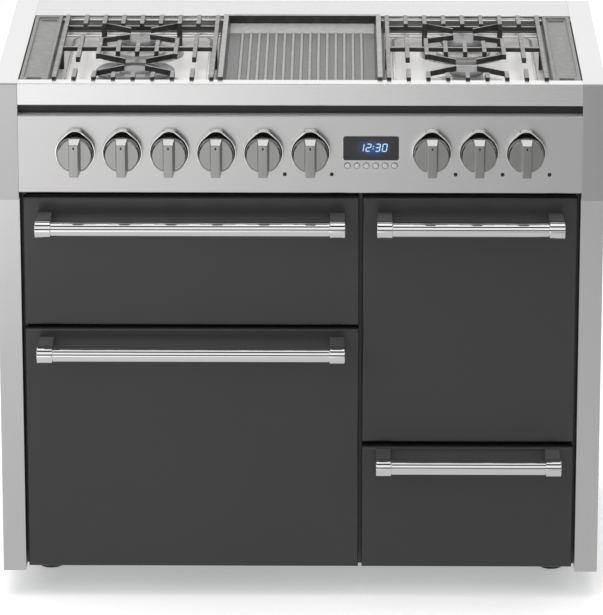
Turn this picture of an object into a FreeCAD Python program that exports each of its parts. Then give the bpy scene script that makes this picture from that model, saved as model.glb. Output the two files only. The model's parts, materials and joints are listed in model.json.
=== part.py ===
"""Free-standing range cooker, 1000 mm wide: four gas burners and a griddle over three ovens and a drawer.

The frame has +X to the viewer's right, +Y to the back and +Z up. The origin is on the floor, under the
middle of the overall box. Depths are measured from the front plane, the face of the upper cheeks.
"""
import os
import re

import FreeCAD
import Part
import Sketcher
from FreeCAD import Rotation, Vector

doc = FreeCAD.newDocument("range_cooker")

# Driving sizes in millimetres
SIZES = {
    # Case
    "body_width": 1000, "body_depth": 600, "worktop_height": 900, "foot_height": 49,
    "cheek_width": 38, "cheek_height": 197.2, "column_setback": 18, "casing_skin": 2,
    "sheet": 1.5, "frame_plate": 2,
    "foot_radius": 20, "foot_pad_height": 9, "foot_stem_radius": 6, "foot_inset_side": 70,
    "foot_inset_front": 185, "foot_inset_back": 60, "base_rail_height": 16,
    "vent_slot_width": 60, "vent_slot_height": 5, "vent_slot_pitch": 16, "vent_drop": 90,
    # Hob
    "fascia_height": 37, "strip_depth": 26, "recess_depth": 20, "fold_radius": 3, "deck_depth": 118,
    "well_depth": 38, "well_lip": 2, "deck_flange": 40, "bead_height": 3, "bead_radius": 74, "bead_run": 9,
    "burner_front": 107, "burner_rear": 132, "neck_radius": 17,
    "neck_depth": 19, "neck_gap": 1, "burner_base_flange": 6, "burner_base_height": 4, "crown_height": 14,
    "crown_taper": 5, "cap_rim": 4, "cap_height": 8, "cap_bevel": 4.5,
    "wok_radius": 65.5, "wok_inner_radius": 41, "wok_heart_radius": 26.5,
    "rear_left_radius": 36, "front_right_radius": 28, "rear_right_radius": 40,
    # Pan supports
    "support_gap": 7, "support_bar": 7, "support_height": 9, "support_proud": 4, "support_start": 2,
    "support_end": 10, "support_rear_bar": 57, "support_leg": 9, "front_bar_drop": 7,
    "rear_bar_drop": 5.4, "middle_bar_drop": 2,
    "front_outer_finger": 60, "front_second_finger": 44, "front_inner_finger": 36,
    "middle_outer_reach": 78, "middle_second_reach": 54, "middle_inner_reach": 37,
    "rear_reach": 1, "diagonal_tip": 17, "diagonal_tip_gap": 19,
    "seat_gap": 0.3,
    # Griddle
    "griddle_share": 0.2922078, "griddle_rim": 8, "griddle_proud": 4, "griddle_floor_drop": 13,
    "griddle_floor": 9, "griddle_end_gap": 4, "griddle_rib_radius": 3.2, "griddle_rib_margin": 33.5,
    "griddle_rib_inset": 16, "griddle_ramp": 60, "griddle_ramp_rise": 3, "griddle_back": 12,
    "griddle_foot_radius": 7, "griddle_foot_inset": 30, "drip_flange": 5, "drip_flange_height": 4,
    # Side trays
    "tray_width": 46.5, "tray_side_gap": 2, "tray_gap": 6.5, "tray_rim": 6, "tray_height": 18,
    "tray_recess": 4,
    "tray_notch_width": 24, "tray_notch_length": 12, "tray_slot_width": 27, "tray_slot_length": 12,
    "tray_leg": 8, "tray_foot_inset": 34,
    # Control panel
    "panel_gap": 17.5, "panel_height": 130.2, "knob_drop": 113.9, "knob_pitches": 12,
    "knob_start_left": 1.2207792, "knob_start_right": 1.2012987, "bezel_gap": 11,
    "bezel_tip_share": 0.5757576, "bezel_depth": 14, "bezel_wall": 2.5, "bezel_floor": 4,
    "knob_gap": 3.5, "knob_back": 6, "knob_shoulder": 27, "knob_face": 32, "knob_bevel": 2.5,
    "knob_reach": 62, "grip_length": 57, "grip_width": 19, "grip_front_width": 14.5,
    "spindle_radius": 4, "spindle_length": 16, "fit_gap": 0.1,
    "valve_width": 34, "valve_back": 46, "valve_collar_radius": 9, "valve_collar_length": 5,
    "rail_radius": 8, "rail_overhang": 25, "inlet_radius": 12, "inlet_length": 26,
    "inlet_bore_radius": 9.3, "inlet_thread": 16,
    "display_share": 0.787931, "display_height": 41, "display_rise": 5.5,
    "display_glass": 6, "timer_pitches": 1.5064935, "timer_height": 82, "timer_drop": 42, "timer_depth": 34,
    "timer_boss": 8,
    "button_share": 0.1684902, "button_drop": 24, "button_radius": 5, "button_proud": 2.5, "button_gap": 0.4,
    "button_tail": 4, "lamp_drop": 39, "lamp_pitches_left": 0.4545455,
    "lamp_pitches_right": 0.512987, "lamp_radius": 3.3, "lamp_proud": 1, "lamp_tail": 16,
    # Doors and drawer
    "door_side_gap": 5, "left_door_share": 0.6, "door_gap": 5.7, "grill_door_share": 0.3406,
    "door_stack_gap": 6.7, "door_floor_gap": 8.1, "drawer_share": 0.33, "drawer_stack_gap": 9.1,
    "skin_depth": 18, "skin_front": 2, "skin_fillet": 3.5, "inner_depth": 18, "inner_fillet": 3,
    "inner_side_inset": 14, "inner_top_inset": 12, "rail_height": 33, "inner_bottom_inset": 31,
    "window_inset": 60, "window_recess": 2, "face_frame_gap": 6, "seal_gap": 0.3,
    "hinge_depth": 17, "hinge_rise": 22, "hinge_inset": 40, "arm_width": 10, "arm_radius": 7,
    "pin_radius": 3, "pin_reach": 9, "notch_gap": 2, "notch_depth": 10,
    "handle_radius": 12.5, "handle_standoff": 60, "handle_inset": 23, "handle_drop": 38.6,
    "main_handle_drop": 27.2, "drawer_handle_drop": 16.4, "ferrule_radius": 15, "ferrule_length": 26,
    "ferrule_bevel": 1.5, "bracket_width": 24, "bracket_height": 26,
    "handle_bore_radius": 10,
    # Ovens
    "cavity_side_inset": 32, "cavity_bottom_inset": 48, "cavity_top_inset": 30, "liner_wall": 2,
    "service_depth": 98, "seal_margin": 2, "seal_width": 8, "guide_size": 6, "guide_length": 380,
    "guide_start": 20, "rack_wire": 4,
    "rack_gap": 1, "element_radius": 4, "element_drop": 16, "element_pitch": 44, "element_inset": 60,
    "fan_radius": 75, "fan_hub_radius": 16, "fan_plate": 2, "fan_blade_height": 18, "fan_wall_gap": 12,
    "fan_shaft_radius": 4, "motor_radius": 40, "motor_length": 52, "ring_radius": 95,
    # Drawer box and runners, terminal box
    "drawer_side_gap": 20, "drawer_box_height": 128, "drawer_box_depth": 440, "drawer_wall": 2,
    "drawer_floor_rise": 10, "runner_height": 14, "runner_rise": 84, "runner_gap": 0.3,
    "ledge_width": 6,
    "terminal_width": 90, "terminal_height": 70, "terminal_depth": 42, "terminal_height_up": 560,
    "terminal_from_side": 132, "gland_radius": 9, "gland_collar": 4,
}

sheet = doc.addObject("Spreadsheet::Sheet", "sizes")
for row, (alias, size) in enumerate(SIZES.items(), 1):
    sheet.set(f"A{row}", alias)
    sheet.set(f"B{row}", str(size))
    sheet.setAlias(f"B{row}", alias)
doc.recompute()

# Places worked out from the driving sizes
PLACES = {
    "front": "(knob_reach - body_depth) / 2",
    "back": "front + body_depth",
    "half": "body_width / 2",
    "inner": "half - cheek_width",
    "top": "worktop_height",
    "fascia_base": "top - fascia_height",
    "panel_top": "fascia_base - panel_gap",
    "panel_base": "panel_top - panel_height",
    "column_face": "front + column_setback",
    "skin_back": "column_face + skin_depth",
    "inner_back": "skin_back + inner_depth",
    "frame_face": "inner_back + face_frame_gap",
    "frame_back": "frame_face + frame_plate",
    "hinge_y": "column_face + hinge_depth",
    "handle_y": "column_face - handle_standoff",
    "well_front": "front + strip_depth",
    "well_back": "back - deck_depth",
    "well_length": "well_back - well_front",
    "well_floor": "top - well_depth + sheet",
    "terminal_from_centre": "inner - terminal_from_side",
    "knob_z": "top - knob_drop",
    "door_top": "top - cheek_height",
    "door_base": "foot_height + door_floor_gap",
    "doors_height": "door_top - door_base",
    "grill_base": "door_top - grill_door_share * doors_height",
    "main_top": "grill_base - door_stack_gap",
    "drawer_top": "door_base + drawer_share * doors_height",
    "tall_base": "drawer_top + drawer_stack_gap",
    "left_x0": "door_side_gap - inner",
    "left_x1": "left_x0 + left_door_share * 2 * inner",
    "right_x0": "left_x1 + door_gap",
    "right_x1": "inner - door_side_gap",
    "griddle_width": "griddle_share * 2 * inner",
    "support_width": "inner - griddle_width / 2 - support_gap - tray_gap - tray_width - tray_side_gap",
    "burner_from_centre": "griddle_width / 2 + support_gap + support_width / 2",
    "support_top": "top + support_proud",
    "support_front": "well_front + support_start",
    "front_row": "well_front + burner_front",
    "rear_row": "well_back - burner_rear",
    "liner_back": "back - service_depth",
    "panel_width": "2 * inner",
    "knob_pitch": "panel_width / knob_pitches",
    "knob_inset_left": "knob_start_left * knob_pitch",
    "knob_inset_right": "knob_start_right * knob_pitch",
    "bezel_radius": "(knob_pitch - bezel_gap) / 2",
    "bezel_tip_radius": "bezel_tip_share * bezel_radius",
    "bezel_tip_rise": "bezel_tip_share * bezel_radius",
    "knob_radius": "bezel_radius - knob_gap",
    "display_offset": "(knob_inset_left - knob_inset_right + 3 * knob_pitch) / 2",
    "display_z": "knob_z + display_rise",
    "timer_width": "timer_pitches * knob_pitch",
    "display_width": "display_share * timer_width",
    "button_pitch": "button_share * display_width",
    "button_z": "knob_z - button_drop",
    "lamp_z": "knob_z - lamp_drop",
    "lamp_offset_left": "lamp_pitches_left * knob_pitch",
    "lamp_offset_right": "lamp_pitches_right * knob_pitch",
    "timer_z": "knob_z - timer_drop",
}

# How many of each repeated piece
COUNTS = {
    "vent_row_count": 5, "griddle_rib_count": 15, "left_knob_count": 6, "right_knob_count": 3,
    "button_count": 6, "main_rack_wire_count": 13, "tall_rack_wire_count": 7, "grill_run_count": 8,
    "fan_blade_count": 8,
}
FULL_TURN = 360

WORD = re.compile(r"[a-z][a-z_0-9]*")


def bound(text):
    """Spell out a sum of sizes and places as an expression on the sheet's cells."""
    def spell(match):
        word = match.group(0)
        if word in PLACES:
            return "(" + bound(PLACES[word]) + ")"
        return "sizes." + word
    return WORD.sub(spell, text)


def place(piece, x, y, z):
    """Bind a piece's position."""
    for axis, text in zip("xyz", (x, y, z)):
        piece.setExpression(f"Placement.Base.{axis}", bound(text))


def block(name, x, y, z):
    """A box between the low and high bounds given for each axis."""
    piece = doc.addObject("Part::Box", name)
    for side, (low, high) in zip(("Length", "Width", "Height"), (x, y, z)):
        piece.setExpression(side, bound(f"({high}) - ({low})"))
    place(piece, x[0], y[0], z[0])
    return piece


AXES = {"X": Vector(1, 0, 0), "Y": Vector(0, 1, 0), "Z": Vector(0, 0, 1)}


def rod(name, axis, start, length, radius):
    """A cylinder from its start point along an axis."""
    piece = doc.addObject("Part::Cylinder", name)
    piece.Placement.Rotation = Rotation(AXES["Z"], AXES[axis])
    piece.setExpression("Radius", bound(radius))
    piece.setExpression("Height", bound(length))
    place(piece, *start)
    return piece


def fuse(name, *pieces):
    """One solid made of several that touch or overlap."""
    whole = doc.addObject("Part::MultiFuse", name)
    whole.Shapes = list(pieces)
    whole.Refine = True
    return whole


def cut(name, base, *tools):
    """A piece with the tools taken out of it."""
    result = doc.addObject("Part::Cut", name)
    result.Base = base
    result.Tool = tools[0] if len(tools) == 1 else fuse(name + "_tools", *tools)
    return result


def group(name, *pieces):
    """Several separate solids that share one node."""
    whole = doc.addObject("Part::Compound", name)
    whole.Links = list(pieces)
    return whole


def mirrored(name, source):
    """The same piece on the other side of the middle plane."""
    twin = doc.addObject("Part::Mirroring", name)
    twin.Source = source
    twin.Normal = AXES["X"]
    return twin


def origin_feature(body, role):
    """An origin plane or axis of a body, found by its role."""
    return next(item for item in body.Origin.OriginFeatures if item.Role == role)


def number(text):
    """The present value of a sum of sizes and places, to start a sketch close to its solution."""
    result = sheet.evalExpression(bound(text))
    return float(getattr(result, "Value", result))


def outline(body, name, plane, points, offset="0 * sheet"):
    """A closed outline of straight lines through points that are bound to the sheet."""
    sketch = body.newObject("Sketcher::SketchObject", name)
    sketch.AttachmentSupport = (origin_feature(body, plane), [""])
    sketch.MapMode = "FlatFace"
    sketch.setExpression("AttachmentOffset.Base.z", bound(offset))
    spots = [Vector(number(x), number(y), 0) for x, y in points]
    for index, spot in enumerate(spots):
        sketch.addGeometry(Part.LineSegment(spot, spots[(index + 1) % len(spots)]), False)
    for index, (x, y) in enumerate(points):
        sketch.addConstraint(Sketcher.Constraint("Coincident", index - 1 if index else len(points) - 1, 2,
                                                 index, 1))
        for kind, text, value in (("DistanceX", x, spots[index].x), ("DistanceY", y, spots[index].y)):
            constraint = sketch.addConstraint(Sketcher.Constraint(kind, -1, 1, index, 1, value))
            sketch.setExpression(f"Constraints[{constraint}]", bound(text))
    return sketch


def padded(name, plane, points, low, high):
    """A body whose outline is drawn on a plane and pushed from low to high along its axis."""
    body = doc.addObject("PartDesign::Body", name)
    flips = plane == "XZ_Plane"
    start = f"0 - ({high})" if flips else low
    sketch = outline(body, name + "_outline", plane, points, start)
    pad = body.newObject("PartDesign::Pad", name + "_pad")
    pad.Profile = sketch
    pad.setExpression("Length", bound(f"({high}) - ({low})"))
    return body


def rectangle(x, z):
    """The corners of a rectangle between two pairs of bounds."""
    return [(x[0], z[0]), (x[1], z[0]), (x[1], z[1]), (x[0], z[1])]


def rounded(body, radius, chosen):
    """Fillet the edges of a body's last feature that a test picks."""
    doc.recompute()
    base = body.Tip
    names = [f"Edge{index}" for index, edge in enumerate(base.Shape.Edges, 1) if chosen(edge)]
    fillet = body.newObject("PartDesign::Fillet", body.Name + "_fillet")
    fillet.Base = (base, names)
    fillet.setExpression("Radius", bound(radius))
    return body


def turned(name, axis, start, profile):
    """A turned body: the profile gives radius and distance along the axis from the start point."""
    body = doc.addObject("PartDesign::Body", name)
    sketch = outline(body, name + "_profile", "XZ_Plane", profile)
    turning = body.newObject("PartDesign::Revolution", name + "_turning")
    turning.Profile = sketch
    turning.ReferenceAxis = (sketch, ["V_Axis"])
    turning.Angle = FULL_TURN
    body.Placement.Rotation = Rotation(AXES["Z"], axis)
    place(body, *start)
    return body


nodes = []


def publish(piece, label):
    """Name a finished sub-part and put it on the list of nodes."""
    piece.Label = label
    nodes.append(piece)
    return piece


TOWARD_VIEWER = Vector(0, -1, 0)
ZERO = "0 * sheet"


def near(value, text):
    """Whether a coordinate of the present model lies on a named place."""
    return abs(value - number(text)) < number("seat_gap")


# Case


def side_casing():
    """Folded casing of the left side with its front column and the upper cheek."""
    profile = [("front", "top"), ("front", "door_top"), ("column_face", "door_top"),
               ("column_face", "foot_height"), ("back", "foot_height"), ("back", "top")]
    outer = padded("casing_outer", "YZ_Plane", profile, "0 - half", "0 - inner")
    rounded(outer, "fold_radius", lambda edge: all(
        near(point.Point.y, "front") and near(point.Point.z, "top") for point in edge.Vertexes))
    z = ("foot_height + casing_skin", "top - casing_skin")
    hollow = block("casing_hollow", ("casing_skin - half", "casing_skin - inner"),
                   ("frame_back", "back - casing_skin"), z)
    column = block("casing_column", ("casing_skin - half", "0 - inner - casing_skin"),
                   ("column_face + casing_skin", "frame_back + casing_skin"), z)
    cheek = block("casing_cheek", ("casing_skin - half", "0 - inner - casing_skin"),
                  ("front + casing_skin", "frame_back"), ("door_top + casing_skin", z[1]))
    left = publish(cut("casing_left", outer, hollow, column, cheek), "side_casing_left")
    publish(mirrored("casing_right", left), "side_casing_right")


def base_frame():
    """Bottom tray that joins the casings, with a hole for each foot's stem."""
    x = ("0 - inner", "inner")
    y = ("frame_back", "back - frame_plate")
    z = ("foot_height", "foot_height + base_rail_height")
    plate = block("base_plate", x, y, z)
    hollow = block("base_hollow", (f"{x[0]} + base_rail_height", f"{x[1]} - base_rail_height"),
                   (f"{y[0]} + base_rail_height", f"{y[1]} - base_rail_height"),
                   ("foot_height + sheet", f"{z[1]} + sheet"))
    stems = []
    feet = []
    for index, (x_foot, y_foot) in enumerate(foot_places()):
        start = (x_foot, y_foot, "0 - sheet")
        stems.append(rod(f"base_hole_{index}", "Z", start, "foot_height + base_rail_height",
                         "foot_stem_radius + fit_gap"))
        pad = [(ZERO, ZERO), ("foot_radius", ZERO), ("foot_radius", "foot_pad_height / 2"),
               ("foot_radius - foot_pad_height / 2", "foot_pad_height"),
               ("foot_stem_radius", "foot_pad_height"),
               ("foot_stem_radius", "foot_height + base_rail_height / 2"),
               (ZERO, "foot_height + base_rail_height / 2")]
        feet.append(turned(f"foot_{index}", AXES["Z"], (x_foot, y_foot, ZERO), pad))
    publish(cut("base", plate, hollow, *stems), "base_frame")
    publish(group("feet", *feet), "levelling_feet")


def foot_places():
    """The four feet, well back from the front so that they stay in shadow."""
    for x in ("foot_inset_side - half", "half - foot_inset_side"):
        for y in ("front + foot_inset_front", "back - foot_inset_back"):
            yield x, y


def back_panel():
    """Rear sheet with two banks of vent slots and holes for the gas pipe and the cable gland."""
    plate = block("rear_plate", ("0 - inner", "inner"), ("back - frame_plate", "back"),
                  ("foot_height", "top - deck_flange"))
    tools = []
    for side in (-1, 1):
        middle = f"{side} * (inner / 2)"
        for row in range(COUNTS["vent_row_count"]):
            level = f"top - vent_drop - {row} * vent_slot_pitch"
            tools.append(block(f"vent_{side + 1}_{row}",
                               (f"{middle} - vent_slot_width", f"{middle} + vent_slot_width"),
                               ("back - frame_plate - sheet", "back + sheet"),
                               (f"{level} - vent_slot_height", level)))
    tools.append(rod("inlet_hole", "Y", ("rail_end", "back - frame_plate - sheet", "knob_z"),
                     "frame_plate + 2 * sheet", "inlet_radius + fit_gap"))
    tools.append(rod("gland_hole", "Y", ("terminal_from_centre", "back - frame_plate - sheet", "gland_z"),
                     "frame_plate + 2 * sheet", "gland_radius + gland_collar + fit_gap"))
    publish(cut("rear", plate, *tools), "back_panel")


PLACES["rail_end"] = "knob_inset_left - inner - rail_overhang"
PLACES["gland_z"] = "terminal_height_up + terminal_height / 2"

# Hob


def hob():
    """Front fascia, rear deck and the pressed well between them."""
    fascia = [("front", "fascia_base"), ("front", "top"), ("well_front", "top"),
              ("well_front", "top - sheet"), ("front + sheet", "top - sheet"),
              ("front + sheet", "fascia_base + sheet"), ("front + recess_depth", "fascia_base + sheet"),
              ("front + recess_depth", "fascia_base")]
    strip = padded("fascia_strip", "YZ_Plane", fascia, "0 - inner", "inner")
    rounded(strip, "sheet", lambda edge: all(
        near(point.Point.y, "front") for point in edge.Vertexes) and edge.Length > number("half"))
    publish(strip, "front_fascia")
    deck = [("well_back", "top - well_lip - sheet"), ("well_back", "top"), ("back", "top"),
            ("back", "top - deck_flange"), ("back - sheet", "top - deck_flange"),
            ("back - sheet", "top - sheet"),
            ("well_back + sheet", "top - sheet"), ("well_back + sheet", "top - well_lip - sheet")]
    publish(padded("deck_strip", "YZ_Plane", deck, "0 - inner", "inner"), "rear_deck")
    x = ("0 - inner", "inner")
    y = ("well_front", "well_back")
    tray = block("well_outer", x, y, ("top - well_depth", "top - sheet"))
    hollow = block("well_hollow", (f"{x[0]} + sheet", f"{x[1]} - sheet"),
                   (f"{y[0]} + sheet", f"{y[1]} - sheet"), ("well_floor", "top + sheet"))
    holes = []
    beads = []
    for name, x_at, y_at, _ in BURNERS:
        holes.append(rod(f"{name}_hole", "Z", (x_at, y_at, "top - well_depth - sheet"),
                         "well_depth", "neck_radius + neck_gap"))
        bead = doc.addObject("Part::Cone", f"{name}_bead")
        bead.setExpression("Radius1", bound("bead_radius"))
        bead.setExpression("Radius2", bound("bead_radius - bead_run"))
        bead.setExpression("Height", bound("bead_height"))
        place(bead, x_at, y_at, "well_floor")
        beads.append(bead)
    pressed = fuse("well_pressed", cut("well_tray", tray, hollow), *beads)
    publish(cut("well", pressed, *holes), "hob_pan")


LEFT = "0 - burner_from_centre"
RIGHT = "burner_from_centre"
BURNERS = [
    ("front_left", LEFT, "front_row", "wok_radius"),
    ("rear_left", LEFT, "rear_row", "rear_left_radius"),
    ("front_right", RIGHT, "front_row", "front_right_radius"),
    ("rear_right", RIGHT, "rear_row", "rear_right_radius"),
]
PLACES["burner_seat"] = "well_floor + bead_height"
PLACES["crown_top"] = "burner_base_height + crown_height"


def burners():
    """Burner bodies with a neck through the pan, and the caps that lie on their crowns."""
    bodies = []
    caps = []
    for name, x, y, radius in BURNERS:
        profile = [(ZERO, "0 - neck_depth"), ("neck_radius", "0 - neck_depth"), ("neck_radius", ZERO),
                   (f"{radius} + burner_base_flange", ZERO),
                   (f"{radius} + burner_base_flange", "burner_base_height"),
                   (f"{radius} - crown_taper", "burner_base_height + crown_taper"),
                   (f"{radius} - cap_rim", "crown_top"), (ZERO, "crown_top")]
        bodies.append(turned(f"{name}_body", AXES["Z"], (x, y, "burner_seat"), profile))
        lid = (x, y, "burner_seat + crown_top")
        if radius == "wok_radius":
            ring = [("wok_inner_radius", ZERO), ("wok_radius", ZERO), ("wok_radius", "cap_bevel"),
                    ("wok_radius - cap_bevel", "cap_height"), ("wok_inner_radius", "cap_height")]
            caps.append(turned(f"{name}_ring", AXES["Z"], lid, ring))
            radius = "wok_heart_radius"
        cap = [(ZERO, ZERO), (radius, ZERO), (radius, "cap_bevel"), (f"{radius} - cap_bevel", "cap_height"),
               (ZERO, "cap_height")]
        caps.append(turned(f"{name}_cap", AXES["Z"], lid, cap))
    publish(group("bodies", *bodies), "burner_bodies")
    publish(group("caps", *caps), "burner_caps")


def pan_support():
    """Cast grid over the left pair of burners: rails, fingers, diagonals and legs."""
    PLACES["bar_pitch"] = "(support_width - support_bar) / 8"
    z = ("support_top - support_height", "support_top")
    start = "support_front"
    end = "well_back - support_end"
    middle = "((front_row + rear_row) / 2)"
    rear = "rear_row + support_rear_bar"
    half_bar = "support_bar / 2"
    pieces = []

    def bar(label, x, y0, y1):
        pieces.append(block(f"support_{label}", (f"{x} - {half_bar}", f"{x} + {half_bar}"), (y0, y1), z))

    def cross(label, y, drop):
        across = (f"{LEFT} - support_width / 2", f"{LEFT} + support_width / 2")
        pieces.append(block(f"support_{label}", across, (y, f"{y} + support_bar"),
                            (f"{z[0]} + well_lip - {drop}", f"{z[1]} - {drop}")))

    reaches = {3: ("front_outer_finger", "middle_outer_reach"),
               2: ("front_second_finger", "middle_second_reach")}
    inner_reaches = ("front_inner_finger", "middle_inner_reach")
    for step in range(-4, 5):
        x = f"{LEFT} + {step} * bar_pitch"
        if abs(step) == 4:
            bar(f"rail_{step + 4}", x, start, end)
            continue
        front_reach, middle_reach = reaches.get(abs(step), inner_reaches)
        bar(f"front_finger_{step + 4}", x, start, f"{start} + {front_reach}")
        bar(f"middle_finger_{step + 4}", x, f"{middle} - {middle_reach}",
            f"{middle} + support_bar + {middle_reach}")
        bar(f"rear_finger_{step + 4}", x, f"{rear} - rear_reach", end)
    cross("front_bar", start, "front_bar_drop")
    cross("middle_bar", middle, "middle_bar_drop")
    cross("rear_bar", rear, "rear_bar_drop")
    diagonals = []
    for side in (-1, 1):
        root_x = f"{LEFT} + {side} * 2 * bar_pitch"
        tip_x = f"{LEFT} + {side} * diagonal_tip"
        for label, row, root_y, way in (
                ("front_low", "front_row", f"{start} + front_second_finger", -1),
                ("front_high", "front_row", f"{middle} - middle_second_reach", 1),
                ("rear_low", "rear_row", f"{middle} + support_bar + middle_second_reach", -1),
                ("rear_high", "rear_row", rear, 1)):
            tip_y = f"{row} + {way} * diagonal_tip_gap"
            arm = [(f"{root_x} - {side} * {half_bar}", root_y),
                   (f"{root_x} - {side} * {half_bar}", f"{root_y} + {way} * support_bar"),
                   (f"{root_x} + {side} * {half_bar}", f"{root_y} + {way} * support_bar"),
                   (tip_x, f"{tip_y} + {way} * support_bar"), (tip_x, tip_y)]
            diagonals.append(padded(f"diagonal_{label}_{side + 1}", "XY_Plane", arm, *z))
        for label, y, step in (("front", start, 4), ("middle", middle, 4), ("rear", rear, 2)):
            leg_x = f"{LEFT} + {side} * {step} * bar_pitch"
            pieces.append(block(f"support_leg_{label}_{side + 1}",
                                (f"{leg_x} - support_leg / 2", f"{leg_x} + support_leg / 2"),
                                (y, f"{y} + support_bar"),
                                ("well_floor + seat_gap", "support_top - support_height / 2")))
    grid = fuse("support_grid", *pieces, *diagonals)
    left = publish(grid, "pan_support_left")
    publish(mirrored("support_right", left), "pan_support_right")


def griddle():
    """Ribbed cast plate with raised side rims, a rear ramp, an end wall and four feet."""
    x0 = "0 - griddle_width / 2"
    x1 = "griddle_width / 2"
    floor = "top - griddle_floor_drop"
    base = f"{floor} - griddle_floor"
    rim = "top + griddle_proud"
    y0 = "well_front + griddle_end_gap"
    y1 = "well_back - griddle_end_gap"
    section = [(x0, base), (x1, base), (x1, rim), (f"{x1} - griddle_rim", rim),
               (f"{x1} - griddle_rim - griddle_proud", floor), (f"{x0} + griddle_rim + griddle_proud", floor),
               (f"{x0} + griddle_rim", rim), (x0, rim)]
    plate = padded("griddle_plate_body", "XZ_Plane", section, y0, y1)
    ramp = [(f"{y1} - griddle_back - griddle_ramp", floor),
            (f"{y1} - griddle_back", f"{floor} + griddle_ramp_rise"),
            (f"{y1} - griddle_back", rim), (y1, rim), (y1, base),
            (f"{y1} - griddle_back - griddle_ramp", base)]
    flange = block("griddle_flange", (f"{x0} - drip_flange", f"{x1} + drip_flange"), (y0, y1),
                   (base, f"{base} + drip_flange_height"))
    pieces = [plate, flange, padded("griddle_ramp_body", "YZ_Plane", ramp, x0, x1)]
    rib_gaps = COUNTS["griddle_rib_count"] - 1
    PLACES["griddle_rib_pitch"] = f"(griddle_width - 2 * griddle_rib_margin) / {rib_gaps}"
    rib_length = "well_length - 2 * griddle_end_gap - griddle_rib_inset - griddle_back - griddle_ramp"
    for rib in range(COUNTS["griddle_rib_count"]):
        across = f"{rib - COUNTS['griddle_rib_count'] // 2} * griddle_rib_pitch"
        start = (across, f"{y0} + griddle_rib_inset", f"{floor} - griddle_rib_radius / 4")
        pieces.append(rod(f"griddle_rib_{rib}", "Y", start, rib_length, "griddle_rib_radius"))
    for x in (f"{x0} + griddle_foot_inset", f"{x1} - griddle_foot_inset"):
        for y in (f"{y0} + griddle_foot_inset", f"{y1} - griddle_foot_inset"):
            pieces.append(rod(f"griddle_foot_{len(pieces)}", "Z", (x, y, "well_floor + seat_gap"),
                              f"{base} - well_floor", "griddle_foot_radius"))
    publish(fuse("griddle", *pieces), "griddle_plate")


def side_trays():
    """Narrow cast trays between the pan supports and the cheeks."""
    x0 = "tray_side_gap - inner"
    x1 = f"{x0} + tray_width"
    y0 = "well_front + griddle_end_gap"
    y1 = "well_back - griddle_end_gap"
    slab = block("tray_slab", (x0, x1), (y0, y1), ("top - tray_height", "top"))
    recess = block("tray_recess_cut", (f"{x0} + tray_rim", f"{x1} - tray_rim"),
                   (f"{y0} + tray_notch_length + tray_rim", f"{y1} - tray_rim"),
                   ("top - tray_recess", "top + sheet"))
    middle = f"{x0} + tray_width / 2"
    upper_half = ("top - tray_height / 2", "top + sheet")
    notch = block("tray_notch", (f"{middle} - tray_notch_width / 2", f"{middle} + tray_notch_width / 2"),
                  (f"{y0} - sheet", f"{y0} + tray_notch_length"), upper_half)
    slot = block("tray_slot", (f"{middle} - tray_slot_width / 2", f"{middle} + tray_slot_width / 2"),
                 (f"{y1} - 2 * tray_rim - tray_slot_length", f"{y1} - 2 * tray_rim"), upper_half)
    flange = block("tray_flange", (x1, f"{x1} + drip_flange"), (y0, y1),
                   ("top - tray_height", "top - tray_height + drip_flange_height"))
    body = fuse("tray_flanged", cut("tray_body", slab, recess, notch, slot), flange)
    legs = [block(f"tray_leg_{label}", (f"{middle} - tray_leg / 2", f"{middle} + tray_leg / 2"),
                  (y, f"{y} + tray_leg"), ("well_floor + seat_gap", "top - tray_height"))
            for label, y in (("front", f"{y0} + tray_foot_inset"), ("rear", f"{y1} - tray_foot_inset"))]
    left = publish(fuse("tray", body, *legs), "side_tray_left")
    publish(mirrored("tray_right", left), "side_tray_right")


# Control panel

KNOB_X = [f"knob_inset_left - inner + {index} * knob_pitch" for index in range(COUNTS["left_knob_count"])]
KNOB_X += [f"inner - knob_inset_right - {index} * knob_pitch"
           for index in reversed(range(COUNTS["right_knob_count"]))]
LAMP_X = [f"{KNOB_X[4]} + lamp_offset_left", f"{KNOB_X[5]} + lamp_offset_left"]
LAMP_X += [f"{knob} + lamp_offset_right" for knob in KNOB_X[6:]]
BUTTON_X = [f"display_offset + {2 * index - COUNTS['button_count'] + 1} * button_pitch / 2"
            for index in range(COUNTS["button_count"])]


def control_panel():
    """Folded front panel with its holes, a ledge on top and a deep return below."""
    profile = [("front", "panel_base"), ("front", "panel_top"), ("front + recess_depth", "panel_top"),
               ("front + recess_depth", "fascia_base"), ("front + recess_depth + sheet", "fascia_base"),
               ("front + recess_depth + sheet", "panel_top - sheet"), ("front + sheet", "panel_top - sheet"),
               ("front + sheet", "panel_base + sheet"), ("frame_back", "panel_base + sheet"),
               ("frame_back", "panel_base")]
    folded = padded("panel_folded", "YZ_Plane", profile, "0 - inner", "inner")
    rounded(folded, "sheet", lambda edge: edge.Length > number("half") and all(
        near(point.Point.y, "front") for point in edge.Vertexes))
    through = ("front - sheet", "front + 2 * sheet")
    tools = [rod(f"panel_knob_hole_{index}", "Y", (x, through[0], "knob_z"), "3 * sheet",
                 "spindle_radius + neck_gap") for index, x in enumerate(KNOB_X)]
    tools += [rod(f"panel_button_hole_{index}", "Y", (x, through[0], "button_z"), "3 * sheet",
                  "button_radius + button_gap") for index, x in enumerate(BUTTON_X)]
    tools += [rod(f"panel_lamp_hole_{index}", "Y", (x, through[0], "lamp_z"), "3 * sheet",
                  "lamp_radius") for index, x in enumerate(LAMP_X)]
    tools.append(block("panel_window",
                       ("display_offset - display_width / 2", "display_offset + display_width / 2"), through,
                       ("display_z - display_height / 2", "display_z + display_height / 2")))
    publish(cut("panel", folded, *tools), "control_panel")


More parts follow.
